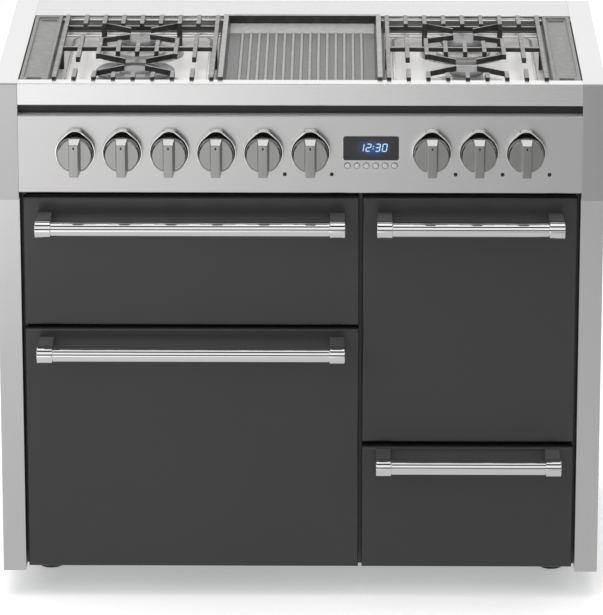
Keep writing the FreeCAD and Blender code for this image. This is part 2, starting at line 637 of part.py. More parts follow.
def egg(body, name, big, small, rise, offset):
    """The bezel's outline: a large arc and a small one above it, joined by tangent lines."""
    sketch = body.newObject("Sketcher::SketchObject", name)
    sketch.AttachmentSupport = (origin_feature(body, "XZ_Plane"), [""])
    sketch.MapMode = "FlatFace"
    sketch.setExpression("AttachmentOffset.Base.z", bound(offset))
    r_big, r_small, up = number(big), number(small), number(rise)
    lean = (r_big - r_small) / up
    side = (1 - lean * lean) ** 0.5
    low, high = Vector(0, 0, 0), Vector(0, up, 0)
    right = Vector(side, lean, 0)
    left = Vector(-side, lean, 0)
    big_arc = Part.Arc(low + left * r_big, Vector(0, -r_big, 0), low + right * r_big)
    small_arc = Part.Arc(high + right * r_small, Vector(0, up + r_small, 0), high + left * r_small)
    sketch.addGeometry(big_arc, False)
    sketch.addGeometry(Part.LineSegment(low + right * r_big, high + right * r_small), False)
    sketch.addGeometry(small_arc, False)
    sketch.addGeometry(Part.LineSegment(high + left * r_small, low + left * r_big), False)
    rule = Sketcher.Constraint
    sketch.addConstraint([rule("Tangent", 0, 2, 1, 1), rule("Tangent", 1, 2, 2, 1),
                          rule("Tangent", 2, 2, 3, 1), rule("Tangent", 3, 2, 0, 1),
                          rule("Coincident", 0, 3, -1, 1), rule("PointOnObject", 2, 3, -2)])
    for kind, geometry, text in (("Radius", 0, big), ("Radius", 2, small)):
        constraint = sketch.addConstraint(rule(kind, geometry, number(text)))
        sketch.setExpression(f"Constraints[{constraint}]", bound(text))
    constraint = sketch.addConstraint(rule("DistanceY", -1, 1, 2, 3, up))
    sketch.setExpression(f"Constraints[{constraint}]", bound(rise))
    return sketch


def bezels():
    """Nine egg-shaped cups fixed to the panel round the knobs."""
    cups = []
    for index, x in enumerate(KNOB_X):
        body = doc.addObject("PartDesign::Body", f"bezel_{index}")
        pad = body.newObject("PartDesign::Pad", f"bezel_pad_{index}")
        pad.Profile = egg(body, f"bezel_egg_{index}", "bezel_radius", "bezel_tip_radius", "bezel_tip_rise",
                          ZERO)
        pad.setExpression("Length", bound("bezel_depth"))
        pocket = body.newObject("PartDesign::Pocket", f"bezel_cup_{index}")
        pocket.Profile = egg(body, f"bezel_inside_{index}", "bezel_radius - bezel_wall",
                             "bezel_tip_radius - bezel_wall", "bezel_tip_rise", "bezel_depth")
        pocket.setExpression("Length", bound("bezel_depth - bezel_floor"))
        place(body, x, "front", "knob_z")
        hole = rod(f"bezel_hole_{index}", "Y", (x, "front - bezel_depth", "knob_z"), "bezel_depth + sheet",
                   "spindle_radius + neck_gap")
        cups.append(cut(f"bezel_cup_cut_{index}", body, hole))
    publish(group("bezels", *cups), "knob_bezels")


def knobs():
    """Nine turned knobs, each with a tapered grip bar across its face and a spindle."""
    profile = [(ZERO, "0 - spindle_length"), ("spindle_radius", "0 - spindle_length"),
               ("spindle_radius", "knob_back"), ("knob_radius", "knob_back"),
               ("knob_radius", "knob_shoulder"), ("knob_radius - knob_bevel", "knob_face"),
               (ZERO, "knob_face")]
    grip = [("0 - grip_width / 2", "knob_face"), ("grip_width / 2", "knob_face"),
            ("grip_front_width / 2", "knob_reach"), ("0 - grip_front_width / 2", "knob_reach")]
    for index, x in enumerate(KNOB_X, 1):
        disc = turned(f"knob_disc_{index}", TOWARD_VIEWER, (x, "front", "knob_z"), profile)
        bar = padded(f"knob_grip_{index}", "XY_Plane", [(px, f"0 - ({py})") for px, py in grip],
                     "0 - grip_length / 2", "grip_length / 2")
        place(bar, x, "front", "knob_z")
        publish(fuse(f"knob_whole_{index}", disc, bar), f"knob_{index}")


def valves():
    """The taps and switches behind the knobs, and the gas rail that feeds the first four."""
    bodies = []
    for index, x in enumerate(KNOB_X):
        z = ("knob_z - valve_width / 2", "knob_z + valve_width / 2")
        case = block(f"valve_case_{index}", (f"{x} - valve_width / 2", f"{x} + valve_width / 2"),
                     ("front + sheet + valve_collar_length", "front + valve_back"), z)
        collar = rod(f"valve_collar_{index}", "Y", (x, "front + sheet", "knob_z"), "valve_collar_length",
                     "valve_collar_radius")
        bore = rod(f"valve_bore_{index}", "Y", (x, "front", "knob_z"), "spindle_length + valve_collar_length",
                   "spindle_radius + fit_gap")
        bodies.append(cut(f"valve_{index}", fuse(f"valve_solid_{index}", case, collar), bore))
    publish(group("valves", *bodies), "control_valves")
    rail_y = "front + valve_back + rail_radius"
    length = "3 * knob_pitch + 2 * rail_overhang"
    rail = rod("rail_tube", "X", ("rail_end", rail_y, "knob_z"), length, "rail_radius")
    pipe = rod("rail_pipe", "Y", ("rail_end", rail_y, "knob_z"), f"back - inlet_length - ({rail_y})",
               "rail_radius")
    inlet = rod("rail_inlet", "Y", ("rail_end", "back - inlet_length", "knob_z"), "inlet_length",
                "inlet_radius")
    bore = rod("rail_bore", "Y", ("rail_end", "back - inlet_thread", "knob_z"), "inlet_thread + sheet",
               "inlet_bore_radius")
    publish(cut("rail", fuse("rail_solid", rail, pipe, inlet), bore), "gas_rail")


def timer():
    """Display glass and the clock module behind it, six push buttons and five lamps."""
    x = ("display_offset - display_width / 2", "display_offset + display_width / 2")
    glass = block("timer_glass", (f"{x[0]} + fit_gap", f"{x[1]} - fit_gap"),
                  ("front + fit_gap", "front + display_glass"),
                  ("display_z - display_height / 2 + fit_gap", "display_z + display_height / 2 - fit_gap"))
    module = block("timer_module", ("display_offset - timer_width / 2", "display_offset + timer_width / 2"),
                   ("front + display_glass", "front + timer_depth"), ("timer_z", "timer_z + timer_height"))
    sides = (("left", ("display_offset - timer_width / 2", "display_offset - timer_width / 2 + timer_boss")),
             ("right", ("display_offset + timer_width / 2 - timer_boss", "display_offset + timer_width / 2")))
    bosses = [block(f"timer_boss_{label}", across, ("front + sheet", "front + display_glass"),
                    ("display_z - timer_boss", "display_z")) for label, across in sides]
    publish(fuse("timer", glass, module, *bosses), "timer_display")
    for index, x_at in enumerate(BUTTON_X, 1):
        cap = [(ZERO, "0 - button_tail"), ("button_radius", "0 - button_tail"),
               ("button_radius", "button_proud / 2"), ("button_radius - button_proud / 2", "button_proud"),
               (ZERO, "button_proud")]
        publish(turned(f"timer_key_{index}", TOWARD_VIEWER, (x_at, "front", "button_z"), cap),
                f"timer_button_{index}")
    lamps = []
    for index, x_at in enumerate(LAMP_X):
        dome = [(ZERO, "0 - lamp_tail"), ("lamp_radius", "0 - lamp_tail"), ("lamp_radius", "lamp_proud / 2"),
                ("lamp_radius - lamp_proud / 2", "lamp_proud"), (ZERO, "lamp_proud")]
        lamps.append(turned(f"lamp_{index}", TOWARD_VIEWER, (x_at, "front", "lamp_z"), dome))
    publish(group("lamps", *lamps), "indicator_lamps")


# Doors and drawer


def door_skin(name, x, z, hinges):
    """Enamelled tray of a door front, with a solid lower rail that holds the hinge pins."""
    x0, x1 = x
    z0, z1 = z
    shell = padded(f"{name}_skin_body", "XZ_Plane", rectangle(x, z), "column_face", "skin_back")
    rounded(shell, "skin_fillet", lambda edge: all(near(p.Point.y, "column_face") for p in edge.Vertexes))
    tools = [block(f"{name}_skin_hollow", (f"{x0} + skin_front", f"{x1} - skin_front"),
                   ("column_face + skin_front", "skin_back + sheet"),
                   (f"{z0} + rail_height", f"{z1} - skin_front"))]
    for index, hinge_x in enumerate(hinges):
        half_notch = "arm_width / 2 + notch_gap"
        across = (f"{hinge_x} - ({half_notch})", f"{hinge_x} + {half_notch}")
        tools.append(block(f"{name}_notch_{index}", across, ("hinge_y - notch_depth", "skin_back + sheet"),
                           (f"{z0} - sheet", f"{z0} + inner_bottom_inset")))
        reach = f"({half_notch} + pin_reach)"
        start = (f"{hinge_x} - {reach}", "hinge_y", f"{z0} + hinge_rise")
        tools.append(rod(f"{name}_bore_{index}", "X", start, f"2 * {reach}", "pin_radius + fit_gap"))
    return publish(cut(f"{name}_skin_cut", shell, *tools), f"{name}_skin")


def door_inner(name, x, z):
    """Inner panel of an oven door with a recess for its glass."""
    x_in = (f"{x[0]} + inner_side_inset", f"{x[1]} - inner_side_inset")
    z_in = (f"{z[0]} + inner_bottom_inset", f"{z[1]} - inner_top_inset")
    panel = padded(f"{name}_inner_body", "XZ_Plane", rectangle(x_in, z_in), "skin_back", "inner_back")
    rounded(panel, "inner_fillet", lambda edge: all(near(p.Point.y, "inner_back") for p in edge.Vertexes))
    glass = block(f"{name}_window", (f"{x_in[0]} + window_inset", f"{x_in[1]} - window_inset"),
                  ("inner_back - window_recess", "inner_back + sheet"),
                  (f"{z_in[0]} + window_inset / 2", f"{z_in[1]} - window_inset / 2"))
    border = "inner_fillet + skin_front"
    hollow = block(f"{name}_inner_hollow", (f"{x_in[0]} + {border}", f"{x_in[1]} - ({border})"),
                   ("skin_back - sheet", "inner_back - window_recess - skin_front"),
                   (f"{z_in[0]} + {border}", f"{z_in[1]} - ({border})"))
    return publish(cut(f"{name}_inner_cut", panel, glass, hollow), f"{name}_inner_panel")


def handle(name, x, z_top, drop):
    """Tubular handle with a ferrule at each end and the two brackets that carry it."""
    x0 = f"{x[0]} + handle_inset"
    x1 = f"{x[1]} - handle_inset"
    axis_z = f"{z_top} - {drop}"
    length = f"({x1}) - ({x0})"
    profile = [("handle_bore_radius", "ferrule_length"), ("handle_radius", "ferrule_length"),
               ("handle_radius", f"{length} - ferrule_length"),
               ("handle_bore_radius", f"{length} - ferrule_length")]
    tube = turned(f"{name}_tube", AXES["X"], (x0, "handle_y", axis_z), profile)
    end = [(ZERO, ZERO), ("ferrule_radius - ferrule_bevel", ZERO), ("ferrule_radius", "ferrule_bevel"),
           ("ferrule_radius", "ferrule_length - ferrule_bevel"),
           ("ferrule_radius - ferrule_bevel", "ferrule_length"), (ZERO, "ferrule_length")]
    ends = [turned(f"{name}_ferrule_left", AXES["X"], (x0, "handle_y", axis_z), end),
            turned(f"{name}_ferrule_right", AXES["X"], (f"{x1} - ferrule_length", "handle_y", axis_z), end)]
    publish(group(f"{name}_handle_group", tube, *ends, *brackets(name, x0, x1, axis_z)), f"{name}_handle")


def brackets(name, x0, x1, axis_z):
    """Two brackets between the ferrules and the door, hollowed to seat the ferrule."""
    pieces = []
    for label, low in (("left", f"{x0} + (ferrule_length - bracket_width) / 2"),
                       ("right", f"{x1} - (ferrule_length + bracket_width) / 2")):
        arm = block(f"{name}_bracket_{label}", (low, f"{low} + bracket_width"), ("handle_y", "column_face"),
                    (f"{axis_z} - bracket_height / 2", f"{axis_z} + bracket_height / 2"))
        seat = rod(f"{name}_bracket_seat_{label}", "X", (f"{low} - sheet", "handle_y", axis_z),
                   "bracket_width + 2 * sheet", "ferrule_radius")
        pieces.append(cut(f"{name}_bracket_cut_{label}", arm, seat))
    return pieces


DOORS = {
    "grill_door": (("left_x0", "left_x1"), ("grill_base", "door_top"), "handle_drop"),
    "main_door": (("left_x0", "left_x1"), ("door_base", "main_top"), "main_handle_drop"),
    "tall_door": (("right_x0", "right_x1"), ("tall_base", "door_top"), "handle_drop"),
}


def hinge_places(x):
    """The middle of each hinge arm across a door."""
    return f"{x[0]} + hinge_inset", f"{x[1]} - hinge_inset"


def doors():
    """Three drop-down doors, the fixed brackets that they turn on, and the drawer front."""
    arms = []
    for name, (x, z, drop) in DOORS.items():
        door_skin(name, x, z, hinge_places(x))
        door_inner(name, x, z)
        handle(name, x, z[1], drop)
        axis_height = f"{z[0]} + hinge_rise"
        for index, middle in enumerate(hinge_places(x)):
            sides = (f"{middle} - arm_width / 2", f"{middle} + arm_width / 2")
            reach = "(arm_width / 2 + notch_gap + pin_reach - seat_gap)"
            arm = block(f"{name}_arm_{index}", sides, ("hinge_y", "frame_face"),
                        (f"{axis_height} - arm_radius", f"{axis_height} + arm_radius"))
            eye = rod(f"{name}_eye_{index}", "X", (sides[0], "hinge_y", axis_height), "arm_width",
                      "arm_radius")
            pin = rod(f"{name}_pin_{index}", "X", (f"{middle} - {reach}", "hinge_y", axis_height),
                      f"2 * {reach}", "pin_radius")
            arms.append(fuse(f"{name}_hinge_{index}", arm, eye, pin))
    publish(group("hinges", *arms), "door_hinges")


def drawer():
    """Storage drawer: front, folded box with side ledges, handle, and the fixed runners."""
    x, z = ("right_x0", "right_x1"), ("door_base", "drawer_top")
    shell = padded("drawer_front_body", "XZ_Plane", rectangle(x, z), "column_face", "skin_back")
    rounded(shell, "skin_fillet", lambda edge: all(near(p.Point.y, "column_face") for p in edge.Vertexes))
    hollow = block("drawer_front_hollow", (f"{x[0]} + skin_front", f"{x[1]} - skin_front"),
                   ("column_face + skin_front", "skin_back + sheet"),
                   (f"{z[0]} + skin_front", f"{z[1]} - skin_front"))
    publish(cut("drawer_front_cut", shell, hollow), "drawer_front")
    handle("drawer", x, z[1], "drawer_handle_drop")
    box_x = (f"{x[0]} + drawer_side_gap", f"{x[1]} - drawer_side_gap")
    box_z = ("door_base + drawer_floor_rise", "door_base + drawer_floor_rise + drawer_box_height")
    box_y = ("skin_back", "skin_back + drawer_box_depth")
    outer = block("drawer_outer", box_x, box_y, box_z)
    ledge_z = ("door_base + runner_rise + runner_height + runner_gap",
               "door_base + runner_rise + runner_height + runner_gap + drawer_wall")
    ledge = block("drawer_ledge", (f"{box_x[0]} - ledge_width", f"{box_x[1]} + ledge_width"), box_y, ledge_z)
    inside = block("drawer_inside", (f"{box_x[0]} + drawer_wall", f"{box_x[1]} - drawer_wall"),
                   (f"{box_y[0]} + drawer_wall", f"{box_y[1]} - drawer_wall"),
                   (f"{box_z[0]} + drawer_wall", f"{box_z[1]} + drawer_wall"))
    lining = block("drawer_lining", (f"{x[0]} + skin_front / 2", f"{x[1]} - skin_front / 2"),
                   ("skin_back", "skin_back + drawer_wall"),
                   (f"{z[0]} + skin_front / 2", f"{z[1]} - skin_front / 2"))
    tray = cut("drawer_tray", fuse("drawer_tray_solid", outer, ledge), inside)
    publish(fuse("drawer_box", tray, lining), "drawer_box")
    rails = [block(f"runner_{label}", bounds, ("frame_back", "liner_back"),
                   ("door_base + runner_rise", "door_base + runner_rise + runner_height"))
             for label, bounds in (
                 ("left", (x[0], f"{box_x[0]} - runner_gap")),
                 ("right", (f"{box_x[1]} + runner_gap", x[1])))]
    publish(group("runners", *rails), "drawer_runners")


# Ovens


def cavity(name):
    """The bounds across and up of the oven behind a door."""
    (x0, x1), (z0, z1), _ = DOORS[name]
    return ((f"{x0} + cavity_side_inset", f"{x1} - cavity_side_inset"),
            (f"{z0} + cavity_bottom_inset", f"{z1} - cavity_top_inset"))


def grown(bounds, by):
    """A pair of bounds moved outwards."""
    return f"{bounds[0]} - ({by})", f"{bounds[1]} + {by}"


def ovens():
    """Face frame, three liners with their seals, and what is fixed inside them."""
    plate = block("face_plate", ("0 - inner", "inner"), ("frame_face", "frame_back"),
                  ("foot_height", "panel_base"))
    windows = []
    seals = []
    for name in DOORS:
        oven = name.replace("door", "oven")
        x, z = cavity(name)
        windows.append(block(f"{name}_mouth", x, ("frame_face - sheet", "frame_back + sheet"), z))
        shell = block(f"{oven}_outer", grown(x, "liner_wall"), ("frame_back", "liner_back + liner_wall"),
                      grown(z, "liner_wall"))
        hollow = block(f"{oven}_hollow", x, ("frame_back - sheet", "liner_back"), z)
        tools = [hollow]
        if name == "main_door":
            tools.append(rod("fan_hole", "Y", ("fan_x", "liner_back - sheet", "fan_z"), "3 * liner_wall",
                             "fan_shaft_radius + fit_gap"))
        liner = cut(f"{oven}_cut", shell, *tools)
        publish(fuse(f"{oven}_whole", liner, *guides(name, x, z)), f"{oven}_liner")
        ring = block(f"{name}_seal_outer", grown(x, "seal_margin + seal_width"),
                     ("inner_back + seal_gap", "frame_face"), grown(z, "seal_margin + seal_width"))
        gap = block(f"{name}_seal_gap", grown(x, "seal_margin"), ("inner_back - sheet", "frame_face + sheet"),
                    grown(z, "seal_margin"))
        seals.append(cut(f"{name}_seal", ring, gap))
    windows.append(block("drawer_mouth", ("right_x0 + runner_gap + drawer_floor_rise",
                                          "right_x1 - runner_gap - drawer_floor_rise"),
                         ("frame_face - sheet", "frame_back + sheet"),
                         ("door_base + runner_gap", "drawer_top - drawer_floor_rise")))
    publish(cut("face", plate, *windows), "oven_face_frame")
    publish(group("seals", *seals), "door_seals")


MAIN_X, MAIN_Z = cavity("main_door")
PLACES["fan_x"] = f"({MAIN_X[0]} + {MAIN_X[1]}) / 2"
PLACES["fan_z"] = f"({MAIN_Z[0]} + {MAIN_Z[1]}) / 2"
# The ledges' heights as shares of the oven's height
GUIDE_LEVELS = {
    "grill_door": (0.13,), "main_door": (0.18, 0.385, 0.59), "tall_door": (0.17, 0.37, 0.57, 0.77),
}
GUIDE_Y = ("frame_back + guide_start", "frame_back + guide_start + guide_length")


def guide_height(z, share):
    """The height of a ledge that lies at a share of an oven's height."""
    return f"({z[0]} + {share} * (({z[1]}) - ({z[0]})))"


def guides(name, x, z):
    """Ledges pressed along the sides of a liner, level by level, for its racks."""
    ledges = []
    for level, share in enumerate(GUIDE_LEVELS[name]):
        low = guide_height(z, share)
        for label, across in (("left", (f"{x[0]} - liner_wall / 2", f"{x[0]} + guide_size")),
                              ("right", (f"{x[1]} - guide_size", f"{x[1]} + liner_wall / 2"))):
            ledges.append(block(f"{name}_guide_{level}_{label}", across, GUIDE_Y,
                                (low, f"{low} + guide_size")))
    return ledges


def oven_fittings():
    """One rack in each oven, and the heating elements."""
    racks = []
    for name in DOORS:
        x, z = cavity(name)
        racks.append(rack(name, (f"{x[0]} + rack_gap", f"{x[1]} - rack_gap"), GUIDE_Y,
                          f"{guide_height(z, GUIDE_LEVELS[name][0])} + guide_size"))
    publish(group("racks", *racks), "oven_racks")
    publish(group("elements", grill_element(), fan_element()), "heating_elements")


def rack(name, x, y, low):
    """A flat wire shelf: a border and the wires across it."""
    z = (low, f"{low} + rack_wire")
    wires = [block(f"{name}_rack_{label}", bounds, y, z) for label, bounds in (
        ("left", (x[0], f"{x[0]} + rack_wire")), ("right", (f"{x[1]} - rack_wire", x[1])))]
    wires += [block(f"{name}_rack_{label}", x, bounds, z) for label, bounds in (
        ("front", (y[0], f"{y[0]} + rack_wire")), ("back", (f"{y[1]} - rack_wire", y[1])))]
    count = COUNTS["tall_rack_wire_count"] if name == "tall_door" else COUNTS["main_rack_wire_count"]
    for index in range(1, count + 1):
        middle = f"({x[0]}) + {index} * (({x[1]}) - ({x[0]})) / {count + 1}"
        wires.append(block(f"{name}_rack_wire_{index}",
                           (f"{middle} - rack_wire / 2", f"{middle} + rack_wire / 2"), y, z))
    return fuse(f"{name}_rack", *wires)


def grill_element():
    """Serpentine element hung under the grill oven's ceiling, with its ends in the back wall."""
    x, z = cavity("grill_door")
    level = f"{z[1]} - element_drop"
    middle = f"({x[0]} + {x[1]}) / 2"
    front = "frame_back + element_inset"
    thickness = (f"{level} - element_radius", f"{level} + element_radius")
    last = COUNTS["grill_run_count"] - 1
    runs = []
    for index in range(COUNTS["grill_run_count"]):
        low = f"{middle} + ({2 * index - last}) * element_pitch / 2 - element_radius"
        reach = "liner_back" if index in (0, last) else "liner_back - element_inset"
        runs.append(block(f"grill_run_{index}", (low, f"{low} + 2 * element_radius"), (front, reach),
                          thickness))
        if index < last:
            end = (front, f"{front} + 2 * element_radius") if index % 2 == 0 else (
                "liner_back - element_inset - 2 * element_radius", "liner_back - element_inset")
            across = (low, f"{low} + element_pitch + 2 * element_radius")
            runs.append(block(f"grill_turn_{index}", across, end, thickness))
    return fuse("grill_element", *runs)


def fan_element():
    """Ring element round the fan, with its two ends in the back wall."""
    ring = doc.addObject("Part::Torus", "fan_ring")
    ring.setExpression("Radius1", bound("ring_radius"))
    ring.setExpression("Radius2", bound("element_radius"))
    ring.Placement.Rotation = Rotation(AXES["Z"], AXES["Y"])
    place(ring, "fan_x", "liner_back - fan_wall_gap - fan_blade_height / 2", "fan_z")
    tails = [rod(f"fan_ring_tail_{side + 1}", "Y",
                 (f"fan_x + {side} * element_pitch / 2", "liner_back - fan_wall_gap - fan_blade_height / 2",
                  "fan_z - (ring_radius * ring_radius - element_pitch * element_pitch / 4) ^ 0.5"),
                 "fan_wall_gap + fan_blade_height / 2", "element_radius") for side in (-1, 1)]
    return fuse("fan_ring_whole", ring, *tails)


def oven_fan():
    """Convection fan with eight blades on a shaft, and its motor behind the main oven."""
    plate_y = "liner_back - fan_wall_gap"
    shaft = rod("fan_shaft", "Y", ("fan_x", f"{plate_y} - fan_blade_height", "fan_z"),
                "fan_blade_height + fan_wall_gap + liner_wall + motor_length / 2", "fan_shaft_radius")
    hub = rod("fan_hub", "Y", ("fan_x", f"{plate_y} - fan_blade_height", "fan_z"),
              "fan_blade_height", "fan_hub_radius")
    plate = rod("fan_disc", "Y", ("fan_x", f"{plate_y} - fan_plate", "fan_z"), "fan_plate", "fan_radius")
    blades = []
    for index in range(COUNTS["fan_blade_count"]):
        blade = doc.addObject("Part::Box", f"fan_blade_{index}")
        blade.setExpression("Length", bound("fan_radius - fan_hub_radius / 2"))
        blade.setExpression("Width", bound("fan_blade_height"))
        blade.setExpression("Height", bound("fan_plate"))
        blade.Placement.Rotation = Rotation(AXES["Y"], index * FULL_TURN / COUNTS["fan_blade_count"])
        place(blade, "fan_x", f"{plate_y} - fan_blade_height", "fan_z")
        blades.append(blade)
    publish(fuse("fan", shaft, hub, plate, *blades), "main_oven_fan")
    case = rod("motor_case", "Y", ("fan_x", "liner_back + liner_wall", "fan_z"), "motor_length",
               "motor_radius")
    bore = rod("motor_bore", "Y", ("fan_x", "liner_back", "fan_z"), "liner_wall + motor_length / 2 + sheet",
               "fan_shaft_radius + fit_gap")
    publish(cut("motor", case, bore), "fan_motor")


def terminal_box():
    """Mains terminal box on the back panel, with a gland bore for the supply cable."""
    x = ("terminal_from_centre - terminal_width / 2", "terminal_from_centre + terminal_width / 2")
    z = ("terminal_height_up", "terminal_height_up + terminal_height")
    case = block("terminal_case", x, ("back - frame_plate - terminal_depth", "back - frame_plate"), z)
    collar = rod("terminal_collar", "Y", ("terminal_from_centre", "back - frame_plate", "gland_z"),
                 "frame_plate", "gland_radius + gland_collar")
    inner_end = "back - frame_plate - terminal_depth / 2"
    bore = rod("terminal_bore", "Y", ("terminal_from_centre", inner_end, "gland_z"),
               "terminal_depth / 2 + frame_plate + sheet", "gland_radius")
    publish(cut("terminal", fuse("terminal_solid", case, collar), bore), "terminal_box")


side_casing()
base_frame()
back_panel()
hob()
burners()
pan_support()
griddle()
side_trays()
control_panel()
bezels()
knobs()
valves()
timer()
doors()
drawer()
ovens()
oven_fittings()
oven_fan()
terminal_box()

doc.recompute()

faults = [item.Name for item in doc.Objects if "Invalid" in item.State or "Error" in item.State]
if faults:
    raise SystemExit("objects that failed to build: " + ", ".join(faults))
for piece in nodes:
    if piece.Shape.isNull() or not piece.Shape.isValid():
        raise SystemExit("sub-part with a bad shape: " + piece.Label)

os.makedirs("parts", exist_ok=True)
for piece in nodes:
    piece.Shape.exportStep(f"parts/{piece.Label}.step")
    box = piece.Shape.BoundBox
    print(f"{piece.Label:24s} solids {len(piece.Shape.Solids):3d}  volume {piece.Shape.Volume:12.1f}"
          f"  x {box.XMin:8.2f} {box.XMax:8.2f}  y {box.YMin:8.2f} {box.YMax:8.2f}"
          f"  z {box.ZMin:8.2f} {box.ZMax:8.2f}")
print("nodes", len(nodes))
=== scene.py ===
"""Free-standing range cooker in a pale studio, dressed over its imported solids.

Each sub-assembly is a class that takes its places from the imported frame, models what the plain solids
lack, and gives every shown node a finish. All lengths are in metres, in the frame of the solids: +X to
the viewer's right, +Y to the back, +Z up.
"""
from __future__ import annotations

import json
import logging
import math
from contextlib import contextmanager
from dataclasses import dataclass
from enum import Enum
from typing import Callable, Iterator, Sequence

import bmesh
import bpy
from mathutils import Matrix, Vector

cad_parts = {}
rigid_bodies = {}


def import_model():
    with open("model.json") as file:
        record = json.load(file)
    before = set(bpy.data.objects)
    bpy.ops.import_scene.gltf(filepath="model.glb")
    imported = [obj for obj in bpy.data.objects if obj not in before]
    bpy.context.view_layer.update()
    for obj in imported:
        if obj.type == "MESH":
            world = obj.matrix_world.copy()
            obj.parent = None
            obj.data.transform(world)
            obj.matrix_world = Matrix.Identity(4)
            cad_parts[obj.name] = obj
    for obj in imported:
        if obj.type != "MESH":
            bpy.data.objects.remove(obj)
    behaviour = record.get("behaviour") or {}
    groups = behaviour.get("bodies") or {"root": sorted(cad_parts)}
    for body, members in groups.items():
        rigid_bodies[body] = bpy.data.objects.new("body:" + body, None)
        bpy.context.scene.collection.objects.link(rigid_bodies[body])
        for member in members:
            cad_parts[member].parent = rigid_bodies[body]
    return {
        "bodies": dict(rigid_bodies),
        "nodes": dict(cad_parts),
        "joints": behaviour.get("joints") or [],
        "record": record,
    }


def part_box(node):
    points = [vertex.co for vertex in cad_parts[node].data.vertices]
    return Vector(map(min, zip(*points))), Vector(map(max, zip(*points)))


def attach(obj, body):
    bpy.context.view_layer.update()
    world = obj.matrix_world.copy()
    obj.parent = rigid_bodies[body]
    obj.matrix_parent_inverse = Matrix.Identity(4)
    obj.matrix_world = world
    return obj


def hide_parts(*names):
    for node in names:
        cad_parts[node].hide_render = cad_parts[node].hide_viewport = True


LOG = logging.getLogger("cooker")
MM = 0.001
MERGED = 0.02 * MM  # corners of a solid's facets that lie closer than this are one
FLAT = 0.5  # degrees below which two neighbouring facets are one flat face
TOUCH = 0.1 * MM  # places that lie closer than this are taken as the same
FACING = 0.9  # a face looks along an axis where more of its normal than this lies on it
ASIDE = 0.5  # a face looks past an axis where less of its normal than this lies on it
GLASS_DROP = 34.5 * MM  # from the top of the display's solid down to the middle of its window
FIGURES_ASIDE = 3.4 * MM  # from the middle of the window to the right, to the middle of the figures
FIGURES_UP = 0.9 * MM  # from the middle of the window upwards, to the middle of the figures

Colour = tuple[float, float, float]
Place = tuple[float, float, float]
Stations = Sequence[tuple[float, float]]
Piece = bpy.types.Object


# Shader expressions


class Term:
    """A shader value whose arithmetic adds Math nodes to its material."""

    def __init__(self, bench: Bench, socket: bpy.types.NodeSocket) -> None:
        """Wrap an output socket.

        Args:
            bench: The material under construction.
            socket: The output that carries the value.
        """
        self.bench = bench
        self.socket = socket

    def _joined(self, operation: str, first: Term | float, second: Term | float) -> Term:
        """The result of a Math node on two values."""
        return self.bench.node("ShaderNodeMath", {"operation": operation}, {0: first, 1: second})

    def __add__(self, other: Term | float) -> Term:
        """Sum."""
        return self._joined("ADD", self, other)

    def __radd__(self, other: float) -> Term:
        """Sum with a number in front."""
        return self._joined("ADD", other, self)

    def __sub__(self, other: Term | float) -> Term:
        """Difference."""
        return self._joined("SUBTRACT", self, other)

    def __rsub__(self, other: float) -> Term:
        """Difference from a number."""
        return self._joined("SUBTRACT", other, self)

    def __mul__(self, other: Term | float) -> Term:
        """Product."""
        return self._joined("MULTIPLY", self, other)

    def __rmul__(self, other: float) -> Term:
        """Product with a number in front."""
        return self._joined("MULTIPLY", other, self)

    def __gt__(self, limit: Term | float) -> Term:
        """One where the value is above the limit, and zero elsewhere."""
        return self._joined("GREATER_THAN", self, limit)

    def centred(self) -> Term:
        """A value from 0 to 1 measured from its middle."""
        return self - 0.5

    def kept(self) -> Term:
        """The value held between 0 and 1."""
        return self._joined("MINIMUM", self._joined("MAXIMUM", self, 0.0), 1.0)

    def ramp(self, stops: Stations) -> Term:
        """The value passed through a curve of straight pieces, as places from 0 to 1 with their levels."""
        return self.bench.node("ShaderNodeValToRGB", {"stops": stops}, {"Fac": self})


